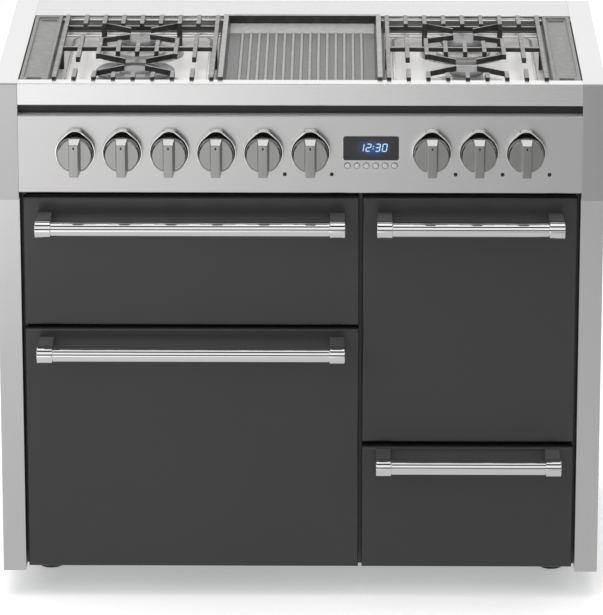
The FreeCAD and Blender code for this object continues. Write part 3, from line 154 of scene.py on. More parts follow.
class Bench:
    """A node tree under construction, for a material or for the world."""

    def __init__(self, owner: bpy.types.Material | bpy.types.World) -> None:
        """Start an empty tree.

        Args:
            owner: The material or world that the tree belongs to.
        """
        owner.use_nodes = True
        self.owner = owner
        self.tree = owner.node_tree
        self.tree.nodes.clear()

    def node(self, kind: str, settings: dict, inputs: dict, output: str | int = 0) -> Term:
        """Add one node.

        Args:
            kind: The node's type.
            settings: Its properties, or the stops of its ramp, which are set first.
            inputs: Values or links for its sockets, by name or number.
            output: The output that is returned.

        Returns:
            That output as a term.
        """
        made = self.tree.nodes.new(kind)
        for name, value in settings.items():
            if name == "stops":
                self._set_stops(made.color_ramp, value)
            else:
                setattr(made, name, value)
        for name, value in inputs.items():
            socket = made.inputs[name]
            if isinstance(value, Term):
                self.tree.links.new(value.socket, socket)
            else:
                socket.default_value = value
        return Term(self, made.outputs[output])

    @staticmethod
    def _set_stops(ramp: bpy.types.ColorRamp, stops: Stations) -> None:
        """Give a ramp its places and grey levels.

        Args:
            ramp: The ramp, as it comes with its node.
            stops: Places from 0 to 1, each with the grey level there.
        """
        while len(ramp.elements) < len(stops):
            ramp.elements.new(1.0)
        for element, (place, level) in zip(ramp.elements, stops):
            element.position = place
            element.color = grey(level)

    def place(self) -> Term:
        """The point on the object, in metres."""
        return self.node("ShaderNodeTexCoord", {}, {}, "Object")

    def part(self, vector: Term, axis: str) -> Term:
        """One coordinate of a vector."""
        return self.node("ShaderNodeSeparateXYZ", {}, {"Vector": vector}, axis)

    def stretched(self, scale: Sequence[float]) -> Term:
        """The point on the object with each axis scaled."""
        return self.node("ShaderNodeMapping", {}, {"Vector": self.place(), "Scale": scale})

    def noise(self, scale: float, detail: float = 3.0, roughness: float = 0.5,
              over: Term | None = None) -> Term:
        """Soft noise from 0 to 1.

        Args:
            scale: How many lumps a metre holds.
            detail: How many finer layers lie over them.
            roughness: How strong those layers are.
            over: The vector that it runs over, or none for the point on the object.

        Returns:
            The noise.
        """
        vector = self.place() if over is None else over
        return self.node("ShaderNodeTexNoise", {}, {
            "Vector": vector, "Scale": scale, "Detail": detail, "Roughness": roughness})

    def cells(self, scale: float, over: Term | None = None) -> Term:
        """Distance to the nearest cell centre.

        Args:
            scale: How many cells a metre holds.
            over: The vector that they fill, or none for the point on the object.

        Returns:
            The distance, in units of a cell.
        """
        vector = self.place() if over is None else over
        return self.node("ShaderNodeTexVoronoi", {"feature": "F1"}, {
            "Vector": vector, "Scale": scale}, "Distance")

    def blend(self, amount: Term, low: Colour | Term, high: Colour) -> Term:
        """A colour between two by an amount from 0 to 1.

        Args:
            amount: The share of the second colour.
            low: The colour at 0.
            high: The colour at 1.

        Returns:
            The colour in between.
        """
        first = low if isinstance(low, Term) else (*low, 1.0)
        return self.node("ShaderNodeMix", {"data_type": "RGBA"}, {
            "Factor": amount, "A": first, "B": (*high, 1.0)}, "Result")

    def bump(self, height: Term, strength: float, depth: float) -> Term:
        """A normal that follows a height, given in units of the depth."""
        return self.node("ShaderNodeBump", {}, {"Height": height, "Strength": strength, "Distance": depth})

    def surface(self, **inputs: object) -> Term:
        """The principled shader with the sockets that are given."""
        return self.node("ShaderNodeBsdfPrincipled", {}, {
            name.replace("_", " "): value for name, value in inputs.items()})

    def shining(self, kind: str, colour: Term | Sequence[float], strength: Term | float) -> Term:
        """An emission or background shader."""
        return self.node(kind, {}, {"Color": colour, "Strength": strength})

    def mixed(self, factor: Term, first: Term, second: Term) -> Term:
        """One shader where a factor is zero, and another where it is one."""
        return self.node("ShaderNodeMixShader", {}, {0: factor, 1: first, 2: second})

    def ray(self, kind: str) -> Term:
        """One for a light path of a kind, and zero for others."""
        return self.node("ShaderNodeLightPath", {}, {}, f"Is {kind} Ray")

    def close(self, shader: Term) -> None:
        """Lead a shader to the output of the tree.

        Args:
            shader: The shader that the material or world shows.
        """
        owner = "World" if isinstance(self.owner, bpy.types.World) else "Material"
        made = self.tree.nodes.new(f"ShaderNodeOutput{owner}")
        self.tree.links.new(shader.socket, made.inputs["Surface"])


def grey(level: float) -> tuple[float, float, float, float]:
    """A grey with full cover."""
    return (level, level, level, 1.0)


def toned(tone: Colour, share: float = 1.0, lift: float = 0.0) -> Colour:
    """A colour scaled and then lifted, up to white at most."""
    return tuple(min(1.0, share * part + lift) for part in tone)


# Finishes


class Grain(Enum):
    """Which way the brushing of a sheet runs."""

    ALONG_X = (4.0, 900.0, 900.0)
    ALONG_Y = (900.0, 4.0, 900.0)
    ALONG_Z = (900.0, 900.0, 4.0)


@dataclass(frozen=True)
class Finish:
    """What every finish has: a name and its main colour."""

    name: str
    tone: Colour

    def build(self) -> bpy.types.Material:
        """Make the material.

        Returns:
            The new material.
        """
        bench = Bench(bpy.data.materials.new("look_" + self.name))
        bench.close(self.skin(bench))
        return bench.owner

    def skin(self, bench: Bench) -> Term:
        """The finish as a shader, which each kind of finish works out in its own way."""
        raise NotImplementedError


@dataclass(frozen=True)
class BrushedSteel(Finish):
    """Stainless sheet with fine straight scratches."""

    roughness: float
    grain: Grain
    streak: float = 0.10
    metallic: float = 1.0
    scratched: float = 0.7
    clouded: float = 0.3

    def skin(self, bench: Bench) -> Term:
        """The finish as a shader.

        Args:
            bench: The material under construction.

        Returns:
            The shader.
        """
        scratches = bench.noise(scale=1.0, detail=4.0, roughness=0.6, over=bench.stretched(self.grain.value))
        clouds = bench.noise(scale=3.0, detail=2.0)
        amount = scratches * self.scratched + clouds * self.clouded
        return bench.surface(
            Base_Color=bench.blend(amount, toned(self.tone, share=0.90), self.tone), Metallic=self.metallic,
            Roughness=self.roughness + self.streak * scratches.centred(),
            Normal=bench.bump(scratches, strength=0.06, depth=0.2 * MM))


@dataclass(frozen=True)
class PlatedMetal(Finish):
    """Chrome plate or smooth satin metal, with faint handling marks."""

    roughness: float
    smeared: float = 0.5

    def skin(self, bench: Bench) -> Term:
        """The finish as a shader.

        Args:
            bench: The material under construction.

        Returns:
            The shader.
        """
        smears = bench.noise(scale=45.0, detail=4.0, roughness=0.6)
        orange_peel = bench.noise(scale=700.0, detail=1.0)
        return bench.surface(
            Base_Color=bench.blend(smears, toned(self.tone, share=0.94), self.tone), Metallic=1.0,
            Roughness=self.roughness + self.smeared * self.roughness * smears.centred(),
            Normal=bench.bump(orange_peel, strength=0.02, depth=0.2 * MM))


@dataclass(frozen=True)
class Enamel(Finish):
    """Vitreous enamel on sheet: an even colour under gloss, with a fine speckle if it is an oven's."""

    roughness: float
    speckle: float = 0.0
    ripple: float = 0.05
    dusted: float = 0.08
    spot_radius: float = 0.28

    def skin(self, bench: Bench) -> Term:
        """The finish as a shader.

        Args:
            bench: The material under construction.

        Returns:
            The shader.
        """
        haze = bench.noise(scale=6.0, detail=2.0)
        dust = bench.noise(scale=420.0, detail=2.0)
        ripple = bench.noise(scale=55.0, detail=2.0)
        spots = 1.0 - (bench.cells(scale=900.0) > self.spot_radius)
        shade = bench.blend(haze, toned(self.tone, share=0.93), toned(self.tone, share=1.07))
        return bench.surface(
            Base_Color=bench.blend(spots * self.speckle, shade, toned(self.tone, lift=0.30)),
            Roughness=self.roughness + self.dusted * dust.centred(), Coat_Weight=0.25, Coat_Roughness=0.12,
            Normal=bench.bump(ripple, self.ripple, depth=0.4 * MM))


@dataclass(frozen=True)
class Casting(Finish):
    """Sand-cast metal under matt enamel, with a fine pitted skin and worn high spots."""

    worn: Colour
    roughness: float
    pitting: float = 0.35
    gritty: float = 0.15
    wear_start: float = 0.48
    wear_rate: float = 4.0
    grit_share: float = 0.6
    lump_share: float = 0.4

    def skin(self, bench: Bench) -> Term:
        """The finish as a shader.

        Args:
            bench: The material under construction.

        Returns:
            The shader.
        """
        grit = bench.noise(scale=520.0, roughness=0.7)
        lumps = bench.noise(scale=90.0)
        wear = ((lumps - self.wear_start) * self.wear_rate).kept()
        height = grit * self.grit_share + lumps * self.lump_share
        return bench.surface(
            Base_Color=bench.blend(wear, self.tone, self.worn),
            Roughness=self.roughness + self.gritty * grit.centred(),
            Normal=bench.bump(height, self.pitting, depth=0.6 * MM))


@dataclass(frozen=True)
class ZincSheet(Finish):
    """Galvanised sheet with the spangle of its crystals."""

    roughness: float = 0.36
    dulling: float = 0.2
    spangled: float = 0.8
    stained: float = 0.4

    def skin(self, bench: Bench) -> Term:
        """The finish as a shader.

        Args:
            bench: The material under construction.

        Returns:
            The shader.
        """
        spangle = bench.cells(scale=70.0, over=bench.stretched((1.0, 1.0, 1.3)))
        stain = bench.noise(scale=5.0)
        amount = (spangle * self.spangled + stain * self.stained).kept()
        return bench.surface(
            Base_Color=bench.blend(amount, toned(self.tone, share=0.72), self.tone), Metallic=1.0,
            Roughness=self.roughness + self.dulling * amount,
            Normal=bench.bump(spangle, strength=0.05, depth=0.4 * MM))


@dataclass(frozen=True)
class Plastic(Finish):
    """Moulded plastic or rubber with a fine grain."""

    roughness: float
    grain: float = 0.2
    grained: float = 0.1

    def skin(self, bench: Bench) -> Term:
        """The finish as a shader.

        Args:
            bench: The material under construction.

        Returns:
            The shader.
        """
        grain = bench.noise(scale=900.0, detail=2.0)
        dust = bench.noise(scale=25.0)
        return bench.surface(
            Base_Color=bench.blend(dust, self.tone, toned(self.tone, share=1.25, lift=0.01)),
            Roughness=self.roughness + self.grained * grain.centred(),
            Normal=bench.bump(grain, self.grain, depth=0.3 * MM))


@dataclass(frozen=True)
class DarkGlass(Finish):
    """Toughened glass with a printed dark back, seen as a deep gloss."""

    roughness: float = 0.05
    smeared: float = 0.05

    def skin(self, bench: Bench) -> Term:
        """The finish as a shader.

        Args:
            bench: The material under construction.

        Returns:
            The shader.
        """
        smears = bench.noise(scale=18.0, detail=4.0)
        wave = bench.noise(scale=8.0, detail=1.0)
        return bench.surface(
            Base_Color=bench.blend(smears, toned(self.tone, share=0.8), self.tone),
            Roughness=self.roughness + self.smeared * smears, Coat_Weight=0.5, Coat_Roughness=0.03,
            Normal=bench.bump(wave, strength=0.02, depth=0.6 * MM))


@dataclass(frozen=True)
class LitGlass(Finish):
    """Smoked glass over a lit display, with a faint halo that fades round the figures."""

    halo: Colour
    reach: tuple[float, float]
    roughness: float = 0.16
    smeared: float = 0.05

    def skin(self, bench: Bench) -> Term:
        """The finish as a shader.

        Args:
            bench: The material under construction.

        Returns:
            The shader.
        """
        middle = figures_middle()
        across = (bench.part(bench.place(), "X") - middle.x) * (1.0 / self.reach[0])
        up = (bench.part(bench.place(), "Z") - middle.z) * (1.0 / self.reach[1])
        near = (1.0 - (across * across + up * up)).kept()
        smears = bench.noise(scale=60.0)
        return bench.surface(
            Base_Color=bench.blend(smears, toned(self.tone, share=0.8), self.tone),
            Roughness=self.roughness + self.smeared * smears, Emission_Strength=1.0,
            Emission_Color=bench.blend(near * near, (0.0, 0.0, 0.0), self.halo))


@dataclass(frozen=True)
class Glow(Finish):
    """The lit strokes of a display, with a slight unevenness."""

    strength: float
    roughness: float = 0.4

    def skin(self, bench: Bench) -> Term:
        """The finish as a shader.

        Args:
            bench: The material under construction.

        Returns:
            The shader.
        """
        flicker = bench.noise(scale=400.0, detail=1.0)
        return bench.surface(
            Base_Color=grey(0.0), Roughness=self.roughness, Emission_Strength=self.strength,
            Emission_Color=bench.blend(flicker, self.tone, toned(self.tone, lift=0.2)))


def figures_middle() -> Vector:
    """The middle of the lit figures, on the face of the display's solid."""
    low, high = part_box("timer_display")
    return Vector(((low.x + high.x) / 2 + FIGURES_ASIDE, low.y, high.z - GLASS_DROP + FIGURES_UP))


class Look(Enum):
    """Every finish on the cooker."""

    FASCIA_STEEL = BrushedSteel("fascia_steel", (0.90, 0.89, 0.89), 0.26, Grain.ALONG_X)
    PANEL_STEEL = BrushedSteel("panel_steel", (0.74, 0.73, 0.73), 0.30, Grain.ALONG_X)
    SIDE_STEEL = BrushedSteel("side_steel", (0.84, 0.84, 0.84), 0.32, Grain.ALONG_Z)
    # Painted shade: darker copies of the side steel for the casing's front faces, darkest on the upper
    # cheeks.
    COLUMN_STEEL = BrushedSteel("column_steel", (0.77, 0.77, 0.77), 0.32, Grain.ALONG_Z)
    CHEEK_STEEL = BrushedSteel("cheek_steel", (0.60, 0.60, 0.60), 0.32, Grain.ALONG_Z)
    # Painted shade: a darker, duller copy of the panel steel for the ledge under the fascia.
    LEDGE_STEEL = BrushedSteel("ledge_steel", (0.62, 0.62, 0.62), 0.45, Grain.ALONG_X, 0.06, 0.3)
    DECK_STEEL = BrushedSteel("deck_steel", (0.75, 0.75, 0.75), 0.28, Grain.ALONG_X)
    PAN_STEEL = BrushedSteel("pan_steel", (0.84, 0.83, 0.81), 0.26, Grain.ALONG_Y, 0.06, 0.84)
    # Painted shade on the pan's rear wall and a painted highlight on its floor: darker and paler copies of
    # the pan steel.
    PAN_WALL = BrushedSteel("pan_wall_steel", (0.26, 0.26, 0.255), 0.30, Grain.ALONG_X, 0.06, 0.9)
    PAN_FLOOR = BrushedSteel("pan_floor_steel", (0.88, 0.87, 0.86), 0.26, Grain.ALONG_Y, 0.06, 0.3)
    CHROME = PlatedMetal("chrome", (0.90, 0.90, 0.90), 0.05)
    # Painted shade: dark copies of the chrome for inside the cups and on their right flanks.
    CUP_INSIDE = PlatedMetal("cup_inside", (0.09, 0.09, 0.09), 0.16)
    CUP_SHADE = PlatedMetal("cup_shade", (0.07, 0.07, 0.07), 0.12)
    KNOB_SATIN = PlatedMetal("knob_satin", (0.39, 0.39, 0.38), 0.20)
    # Painted highlight: a pale matt finish for the grips' upper ends and the cups' crests and left flanks.
    KNOB_END = Enamel("knob_ground_end", (0.56, 0.56, 0.55), 0.30)
    BRIGHT = PlatedMetal("bright_cap", (0.80, 0.80, 0.80), 0.16)
    # Painted shade: the near-black back wall of the step under the fascia.
    SHADE_WALL = Enamel("shade_wall", (0.014, 0.014, 0.014), 0.50)
    CHARCOAL = Enamel("charcoal_enamel", (0.026, 0.026, 0.0265), 0.30)
    BRACKET = Enamel("bracket_enamel", (0.090, 0.090, 0.091), 0.40)
    OVEN = Enamel("oven_enamel", (0.018, 0.018, 0.021), 0.16, 0.5)
    IRON = Casting("cast_iron", (0.018, 0.018, 0.018), (0.036, 0.036, 0.035), 0.40)
    # Painted highlight: a paler copy of the cast iron for the supports' upward faces.
    IRON_TOP = Casting("cast_iron_top", (0.140, 0.140, 0.136), (0.250, 0.250, 0.243), 0.40)
    PLATE = Casting("griddle_iron", (0.056, 0.055, 0.054), (0.087, 0.085, 0.083), 0.34, 0.22)
    # Painted highlights and painted shade: paler copies of the griddle iron for its ribs, ramp and rims, and
    # a darker one for its rear wall.
    PLATE_RIB = Casting("griddle_iron_rib", (0.235, 0.233, 0.230), (0.295, 0.293, 0.290), 0.45, 0.22)
    PLATE_RAMP = Casting("griddle_iron_ramp", (0.285, 0.283, 0.280), (0.350, 0.348, 0.344), 0.50, 0.22)
    PLATE_PALE = Casting("griddle_iron_pale", (0.250, 0.248, 0.244), (0.330, 0.328, 0.323), 0.45, 0.22)
    PLATE_DARK = Casting("griddle_iron_dark", (0.016, 0.016, 0.016), (0.030, 0.030, 0.029), 0.45, 0.22)
    TRAY = Casting("tray_iron", (0.150, 0.150, 0.146), (0.200, 0.200, 0.195), 0.45, 0.25)
    ALLOY = Casting("burner_alloy", (0.400, 0.400, 0.390), (0.520, 0.520, 0.510), 0.34, 0.2)
    CAP = Enamel("burner_cap_enamel", (0.120, 0.120, 0.120), 0.42)
    # Painted shade: near black in the floors of the burner ports.
    PORT = Plastic("burner_port", (0.010, 0.009, 0.008), 0.7)
    ZINC = ZincSheet("galvanised_steel", (0.60, 0.61, 0.62))
    WINDOW = LitGlass("display_glass", (0.026, 0.026, 0.030), (0.010, 0.050, 0.200), (34 * MM, 17 * MM))
    PANE = DarkGlass("oven_glass", (0.012, 0.012, 0.013))
    DIGIT = Glow("display_digit", (0.42, 0.70, 1.0), 1.15)
    LENS = Plastic("lamp_lens", (0.022, 0.010, 0.010), 0.15, 0.02)
    LAMP_GLASS = Plastic("oven_lamp_glass", (0.55, 0.54, 0.50), 0.12, 0.05)
    RUBBER = Plastic("seal_rubber", (0.015, 0.015, 0.015), 0.65)
    FOOT = Plastic("foot_plastic", (0.020, 0.020, 0.020), 0.5)
    MARK = Plastic("knob_mark", (0.012, 0.012, 0.012), 0.5)
    CERAMIC = Plastic("spark_ceramic", (0.75, 0.74, 0.70), 0.3, 0.05)
    SHEATH = PlatedMetal("element_sheath", (0.20, 0.18, 0.16), 0.42)
    BRASS = PlatedMetal("brass_fitting", (0.72, 0.52, 0.22), 0.30)
    WIRE = PlatedMetal("rack_wire", (0.72, 0.72, 0.72), 0.18)

    def material(self) -> bpy.types.Material:
        """The material of this finish, made when it is first asked for."""
        return bpy.data.materials.get("look_" + self.value.name) or self.value.build()


# Modelling


def deselect() -> None:
    """Clear the selection, which the operators act on."""
    if bpy.context.mode != "OBJECT":
        bpy.ops.object.mode_set(mode="OBJECT")
    for item in list(bpy.context.selected_objects):
        item.select_set(False)


def focus(piece: Piece) -> None:
    """Make a piece the only selected and the active one.

    Args:
        piece: The piece that the next operators act on.
    """
    deselect()
    piece.select_set(True)
    bpy.context.view_layer.objects.active = piece


@contextmanager
def editing(piece: Piece, mode: str = "FACE") -> Iterator[bmesh.types.BMesh]:
    """Edit mode with nothing selected.

    Args:
        piece: The object to edit.
        mode: What is selected: VERT, EDGE or FACE.

    Yields:
        The mesh under edit, for picking its parts in code.
    """
    focus(piece)
    bpy.ops.object.mode_set(mode="EDIT")
    bpy.ops.mesh.select_mode(type=mode)
    bpy.ops.mesh.select_all(action="DESELECT")
    yield bmesh.from_edit_mesh(piece.data)
    bpy.ops.object.mode_set(mode="OBJECT")


def pick(piece: Piece, parts: Sequence, test: Callable) -> None:
    """Select what passes a test in a mesh under edit, and nothing else.

    Args:
        piece: The object under edit.
        parts: The vertices, edges or faces to choose from.
        test: Whether one of them is selected.
    """
    bpy.ops.mesh.select_all(action="DESELECT")
    for part in parts:
        if test(part):
            part.select_set(True)
    bmesh.update_edit_mesh(piece.data)


def pick_all() -> None:
    """Select the whole mesh under edit."""
    bpy.ops.mesh.select_all(action="SELECT")


def extrude(move: Sequence[float]) -> None:
    """Extrude what is selected by a move."""
    bpy.ops.mesh.extrude_region_move(TRANSFORM_OT_translate={"value": move})


def face_out() -> None:
    """Turn every face of the mesh under edit outwards."""
    pick_all()
    bpy.ops.mesh.normals_make_consistent(inside=False)


def settled(name: str) -> Piece:
    """The primitive that was just added, named and with its place in its mesh.

    Args:
        name: Its name.

    Returns:
        The primitive, with its object at the origin.
    """
    piece = bpy.context.object
    piece.name = name
    focus(piece)
    bpy.ops.object.transform_apply(location=True, rotation=True, scale=True)
    return piece


def removed(*pieces: Piece) -> None:
    """Take away patterns and cutters that are no longer needed."""
    for piece in pieces:
        bpy.data.objects.remove(piece)


def box(name: str, low: Sequence[float], high: Sequence[float]) -> Piece:
    """A block between two corners.

    Args:
        name: The piece's name.
        low: Its lowest corner.
        high: Its highest corner.

    Returns:
        The new piece.
    """
    deselect()
    low, high = Vector(low), Vector(high)
    bpy.ops.mesh.primitive_cube_add(size=1.0, location=(low + high) / 2)
    bpy.context.object.scale = high - low
    return settled(name)


def rod(name: str, start: Sequence[float], end: Sequence[float], radius: float, sides: int) -> Piece:
    """A round bar between two points.

    Args:
        name: The piece's name.
        start: The middle of one end.
        end: The middle of the other end.
        radius: The bar's radius.
        sides: How many sides the round has.

    Returns:
        The new piece.
    """
    deselect()
    start, end = Vector(start), Vector(end)
    turn = (end - start).to_track_quat("Z", "Y").to_euler()
    bpy.ops.mesh.primitive_cylinder_add(vertices=sides, radius=radius, depth=(end - start).length,
                                        location=(start + end) / 2, rotation=turn)
    return settled(name)


def profile(shares: Stations, length: float, radius: float) -> Stations:
    """Stations of a round piece from shares of a length and of a radius."""
    return [(along * length, wide * radius) for along, wide in shares]


def turned(name: str, start: Sequence[float], axis: Sequence[float], stations: Stations,
           sides: int) -> Piece:
    """A round piece whose radius changes along its axis.

    Args:
        name: The piece's name.
        start: The point on the axis that distances are measured from.
        axis: The direction of the axis.
        stations: Distances along the axis, each with the radius there.
        sides: How many sides the round has.

    Returns:
        The new piece, closed at both ends.
    """
    deselect()
    start, axis = Vector(start), Vector(axis).normalized()
    distance, radius = stations[0]
    bpy.ops.mesh.primitive_circle_add(vertices=sides, radius=radius, fill_type="NGON",
                                      location=start + distance * axis,
                                      rotation=axis.to_track_quat("Z", "Y").to_euler())
    piece = settled(name)
    with editing(piece):
        pick_all()
        for further, wider in stations[1:]:
            extrude((further - distance) * axis)
            bpy.ops.transform.resize(value=(wider / radius,) * 3, center_override=start + further * axis)
            distance, radius = further, wider
        face_out()
    return piece


def slab(name: str, low: Sequence[float], high: Sequence[float], corner: float) -> Piece:
    """A block whose four edges from front to back are rounded.

    Args:
        name: The piece's name.
        low: Its lowest corner.
        high: Its highest corner.
        corner: The radius of the rounded edges.

    Returns:
        The new piece.
    """
    def lengthwise(edge: bmesh.types.BMEdge) -> bool:
        """Whether an edge runs from front to back."""
        return abs((edge.verts[0].co - edge.verts[1].co).normalized().y) > FACING

    piece = box(name, low, high)
    with editing(piece, "EDGE") as mesh:
        pick(piece, mesh.edges, lengthwise)
        bpy.ops.mesh.bevel(offset=corner, segments=6, affect="EDGES")
    return piece


def modified(piece: Piece, kind: str, **settings: object) -> Piece:
    """Run a modifier on a piece.

    Args:
        piece: The piece to change.
        kind: The modifier's type.
        settings: Its properties.

    Returns:
        The same piece.
    """
    focus(piece)
    modifier = piece.modifiers.new(kind.lower(), kind)
    for name, value in settings.items():
        setattr(modifier, name, value)
    bpy.ops.object.modifier_apply(modifier=modifier.name)
    return piece


def bevelled(piece: Piece, width: float, segments: int = 2, angle: float = 30.0) -> Piece:
    """Round a piece's edges that are sharper than an angle in degrees."""
    return modified(piece, "BEVEL", width=width, segments=segments, limit_method="ANGLE",
                    angle_limit=math.radians(angle), use_clamp_overlap=True)


def smoothed(piece: Piece, angle: float = 40.0) -> Piece:
    """Shade a piece smooth over its soft edges, with flat faces kept flat.

    Args:
        piece: The piece to shade.
        angle: The angle in degrees from which an edge stays sharp.

    Returns:
        The same piece.
    """
    focus(piece)
    bpy.ops.object.shade_smooth_by_angle(angle=math.radians(angle))
    return modified(piece, "WEIGHTED_NORMAL", keep_sharp=True, weight=100)


def joined(name: str, pieces: Sequence[Piece]) -> Piece:
    """Several pieces made one object.

    Args:
        name: The name of the whole.
        pieces: What it is made of.

    Returns:
        The whole, in place of the first piece.
    """
    focus(pieces[0])
    for piece in pieces:
        piece.select_set(True)
    bpy.ops.object.join()
    whole = bpy.context.object
    whole.name = name
    return whole


def carved(piece: Piece, cutter: Piece) -> Piece:
    """Take one piece out of another, and remove it.

    Args:
        piece: The piece to cut.
        cutter: What is taken out of it.

    Returns:
        The piece that was cut.
    """
    modified(piece, "BOOLEAN", object=cutter, solver="EXACT")
    removed(cutter)
    return piece


def crossed(piece: Piece, arm: tuple[float, float], depths: tuple[float, float]) -> Piece:
    """Cut a cross recess into a screw's head, whose top faces +Y.

    Args:
        piece: The head.
        arm: Half the length and half the width of the cross's arms.
        depths: Where the cut starts and ends along Y.

    Returns:
        The head.
    """
    for across, up in (arm, reversed(arm)):
        carved(piece, box("cutter", (-across, depths[0], -up), (across, depths[1], up)))
    return piece


def clothed(piece: Piece, look: Look) -> None:
    """Give a piece one finish all over."""
    piece.data.materials.clear()
    piece.data.materials.append(look.material())


def tinted(piece: Piece, look: Look, test: Callable[[bpy.types.MeshPolygon], bool]) -> None:
    """Give some faces a second finish.

    Args:
        piece: The piece, with its main finish.
        look: The second finish.
        test: Whether a face gets it.
    """
    piece.data.materials.append(look.material())
    for face in piece.data.polygons:
        if test(face):
            face.material_index = len(piece.data.materials) - 1


def parted(piece: Piece) -> list[Piece]:
    """The separate solids of a piece.

    Args:
        piece: The piece to part.

    Returns:
        Its solids, each as an object.
    """
    focus(piece)
    bpy.ops.mesh.separate(type="LOOSE")
    return list(bpy.context.selected_objects)


def span(piece: Piece) -> tuple[Vector, Vector]:
    """The lowest and highest corners of a piece's mesh.

    Args:
        piece: The piece to measure.

    Returns:
        Both corners.
    """
    points = [vertex.co for vertex in piece.data.vertices]
    return (Vector([min(point[axis] for point in points) for axis in range(3)]),
            Vector([max(point[axis] for point in points) for axis in range(3)]))


def spread(first: float, last: float, count: int) -> list[float]:
    """Even places from one to another, both among them."""
    return [first + step * (last - first) / (count - 1) for step in range(count)]


def copied(piece: Piece, name: str, move: Matrix) -> Piece:
    """A copy with its own mesh.

    Args:
        piece: The piece to copy.
        name: The copy's name.
        move: How the copy is moved in its mesh.

    Returns:
        The copy.
    """
    twin = piece.copy()
    twin.data = piece.data.copy()
    twin.name = name
    twin.data.transform(move)
    bpy.context.collection.objects.link(twin)
    return twin


class Cooker:
    """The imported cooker: its nodes, the bodies that they belong to, and how pieces are put on it."""

    def __init__(self, frame: dict) -> None:
        """Take over the loaded frame.
        """
        self.nodes = frame["nodes"]
        record = frame["record"]
        self.body = {node: body for body, nodes in record["behaviour"]["bodies"].items() for node in nodes}
        self.slot = {part["node"]: part["material_slot"] for part in record["subparts"]}

    def paint(self, node: str, look: Look) -> None:
        """Give a shown node its finish."""
        clothed(self.nodes[node], look)

    def add(self, piece: Piece, look: Look | None, near: str, replaces: Sequence[str] = ()) -> None:
        """Give a new piece its finish and body.

        Args:
            piece: The finished mesh, in place.
            look: Its finish, or none where it has its materials.
            near: The node whose body it shares.
            replaces: The nodes that it stands for.
        """
        if look is not None:
            clothed(piece, look)
        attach(piece, self.body[near])
        if replaces:
            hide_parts(*replaces)
        LOG.info("piece %s, %d faces, rides on %s", piece.name, len(piece.data.polygons), self.body[near])

    def bare(self, node: str, name: str) -> Piece:
        """A copy of a node with its facets merged into whole faces.

        Args:
            node: The node to copy.
            name: The copy's name.

        Returns:
            The copy, without finish or body.
        """
        piece = bpy.data.objects.new(name, self.nodes[node].data.copy())
        bpy.context.collection.objects.link(piece)
        focus(piece)
        bpy.ops.mesh.customdata_custom_splitnormals_clear()
        with editing(piece):
            pick_all()
            bpy.ops.mesh.remove_doubles(threshold=MERGED)
            bpy.ops.mesh.dissolve_limited(angle_limit=math.radians(FLAT))
        return piece

    def recast(self, node: str, look: Look, edge: float, segments: int = 2) -> Piece:
        """A finished copy of a node with its edges rounded, which takes its place.

        Args:
            node: The node to stand for.
            look: Its finish.
            edge: The rounding of its edges.
            segments: The faces across each rounding.

        Returns:
            The new piece.
        """
        piece = smoothed(bevelled(self.bare(node, node + "_finished"), edge, segments))
        self.add(piece, look, node, [node])
        return piece


# The cooker's sub-assemblies


@dataclass
class Casing:
    """Side casings, base, back and feet."""

    fold: float = 0.6 * MM
    foot_edge: float = 1.2 * MM
    cheek_depth: float = 2 * MM
    front_lean: float = 0.3
    screw_radius: float = 4.2 * MM
    screw_height: float = 1.4 * MM
    screw_inset: float = 12 * MM
    screw_sides: int = 24
    screws_up: int = 5
    screws_across: int = 5

    # Distances in shares of the screw's height, each with the radius in shares of the screw's
    SINK_SHARES = ((0, 0.5), (1, 1), (2, 1))
    HEAD_SHARES = ((-0.2, 0.5), (0.05, 0.5), (0.85, 0.88), (0.95, 0.8))
    # The cross's half length and half width in shares of the radius, and its ends in shares of the height
    CROSS_SHARES = (0.55, 0.11)
    CROSS_DEPTH_SHARES = (-0.6, 1)

    def dress(self, cooker: Cooker) -> None:
        """Finish the case, with painted shade on its front faces, and screw its back on.

        Args:
            cooker: The cooker to dress.
        """
        for node in ("side_casing_left", "side_casing_right"):
            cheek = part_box(node)[0].y + self.cheek_depth
            piece = cooker.recast(node, Look.SIDE_STEEL, self.fold)
            fronts = {face.index: face.center.y for face in piece.data.polygons
                      if face.normal.y < -self.front_lean}
            # Painted shade: the front faces darker than the sides, the upper cheeks darkest.
            tinted(piece, Look.CHEEK_STEEL, lambda face: fronts.get(face.index, cheek) < cheek)
            tinted(piece, Look.COLUMN_STEEL, lambda face: fronts.get(face.index, cheek) > cheek)
        cooker.paint("base_frame", Look.ZINC)
        cooker.recast("levelling_feet", Look.FOOT, self.foot_edge)
        self.back(cooker)

    def back(self, cooker: Cooker) -> None:
        """The back panel, with countersunk screws round its edge.

        Args:
            cooker: The cooker to dress.
        """
        low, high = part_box("back_panel")
        x0, x1 = low.x + self.screw_inset, high.x - self.screw_inset
        z0, z1 = low.z + self.screw_inset, high.z - self.screw_inset
        places = {(x, z) for z in spread(z0, z1, self.screws_up) for x in (x0, x1)}
        places |= {(x, z) for x in spread(x0, x1, self.screws_across) for z in (z0, z1)}
        moves = [Matrix.Translation((x, high.y, z)) for x, z in sorted(places)]
        wide, deep = self.screw_radius, self.screw_height
        sink, head = (
            turned(name, (0, -deep, 0), (0, 1, 0), profile(shares, deep, wide), self.screw_sides)
            for name, shares in (("sink", self.SINK_SHARES), ("head", self.HEAD_SHARES)))
        crossed(head, tuple(share * wide for share in self.CROSS_SHARES),
                tuple(share * deep for share in self.CROSS_DEPTH_SHARES))
        piece = carved(cooker.bare("back_panel", "back_panel_finished"),
                       joined("sinks", [copied(sink, "sink", move) for move in moves]))
        cooker.add(smoothed(piece), Look.ZINC, "back_panel", ["back_panel"])
        heads = joined("back_panel_screws", [copied(head, "head", move) for move in moves])
        cooker.add(smoothed(heads), Look.BRIGHT, "back_panel")
        removed(sink, head)


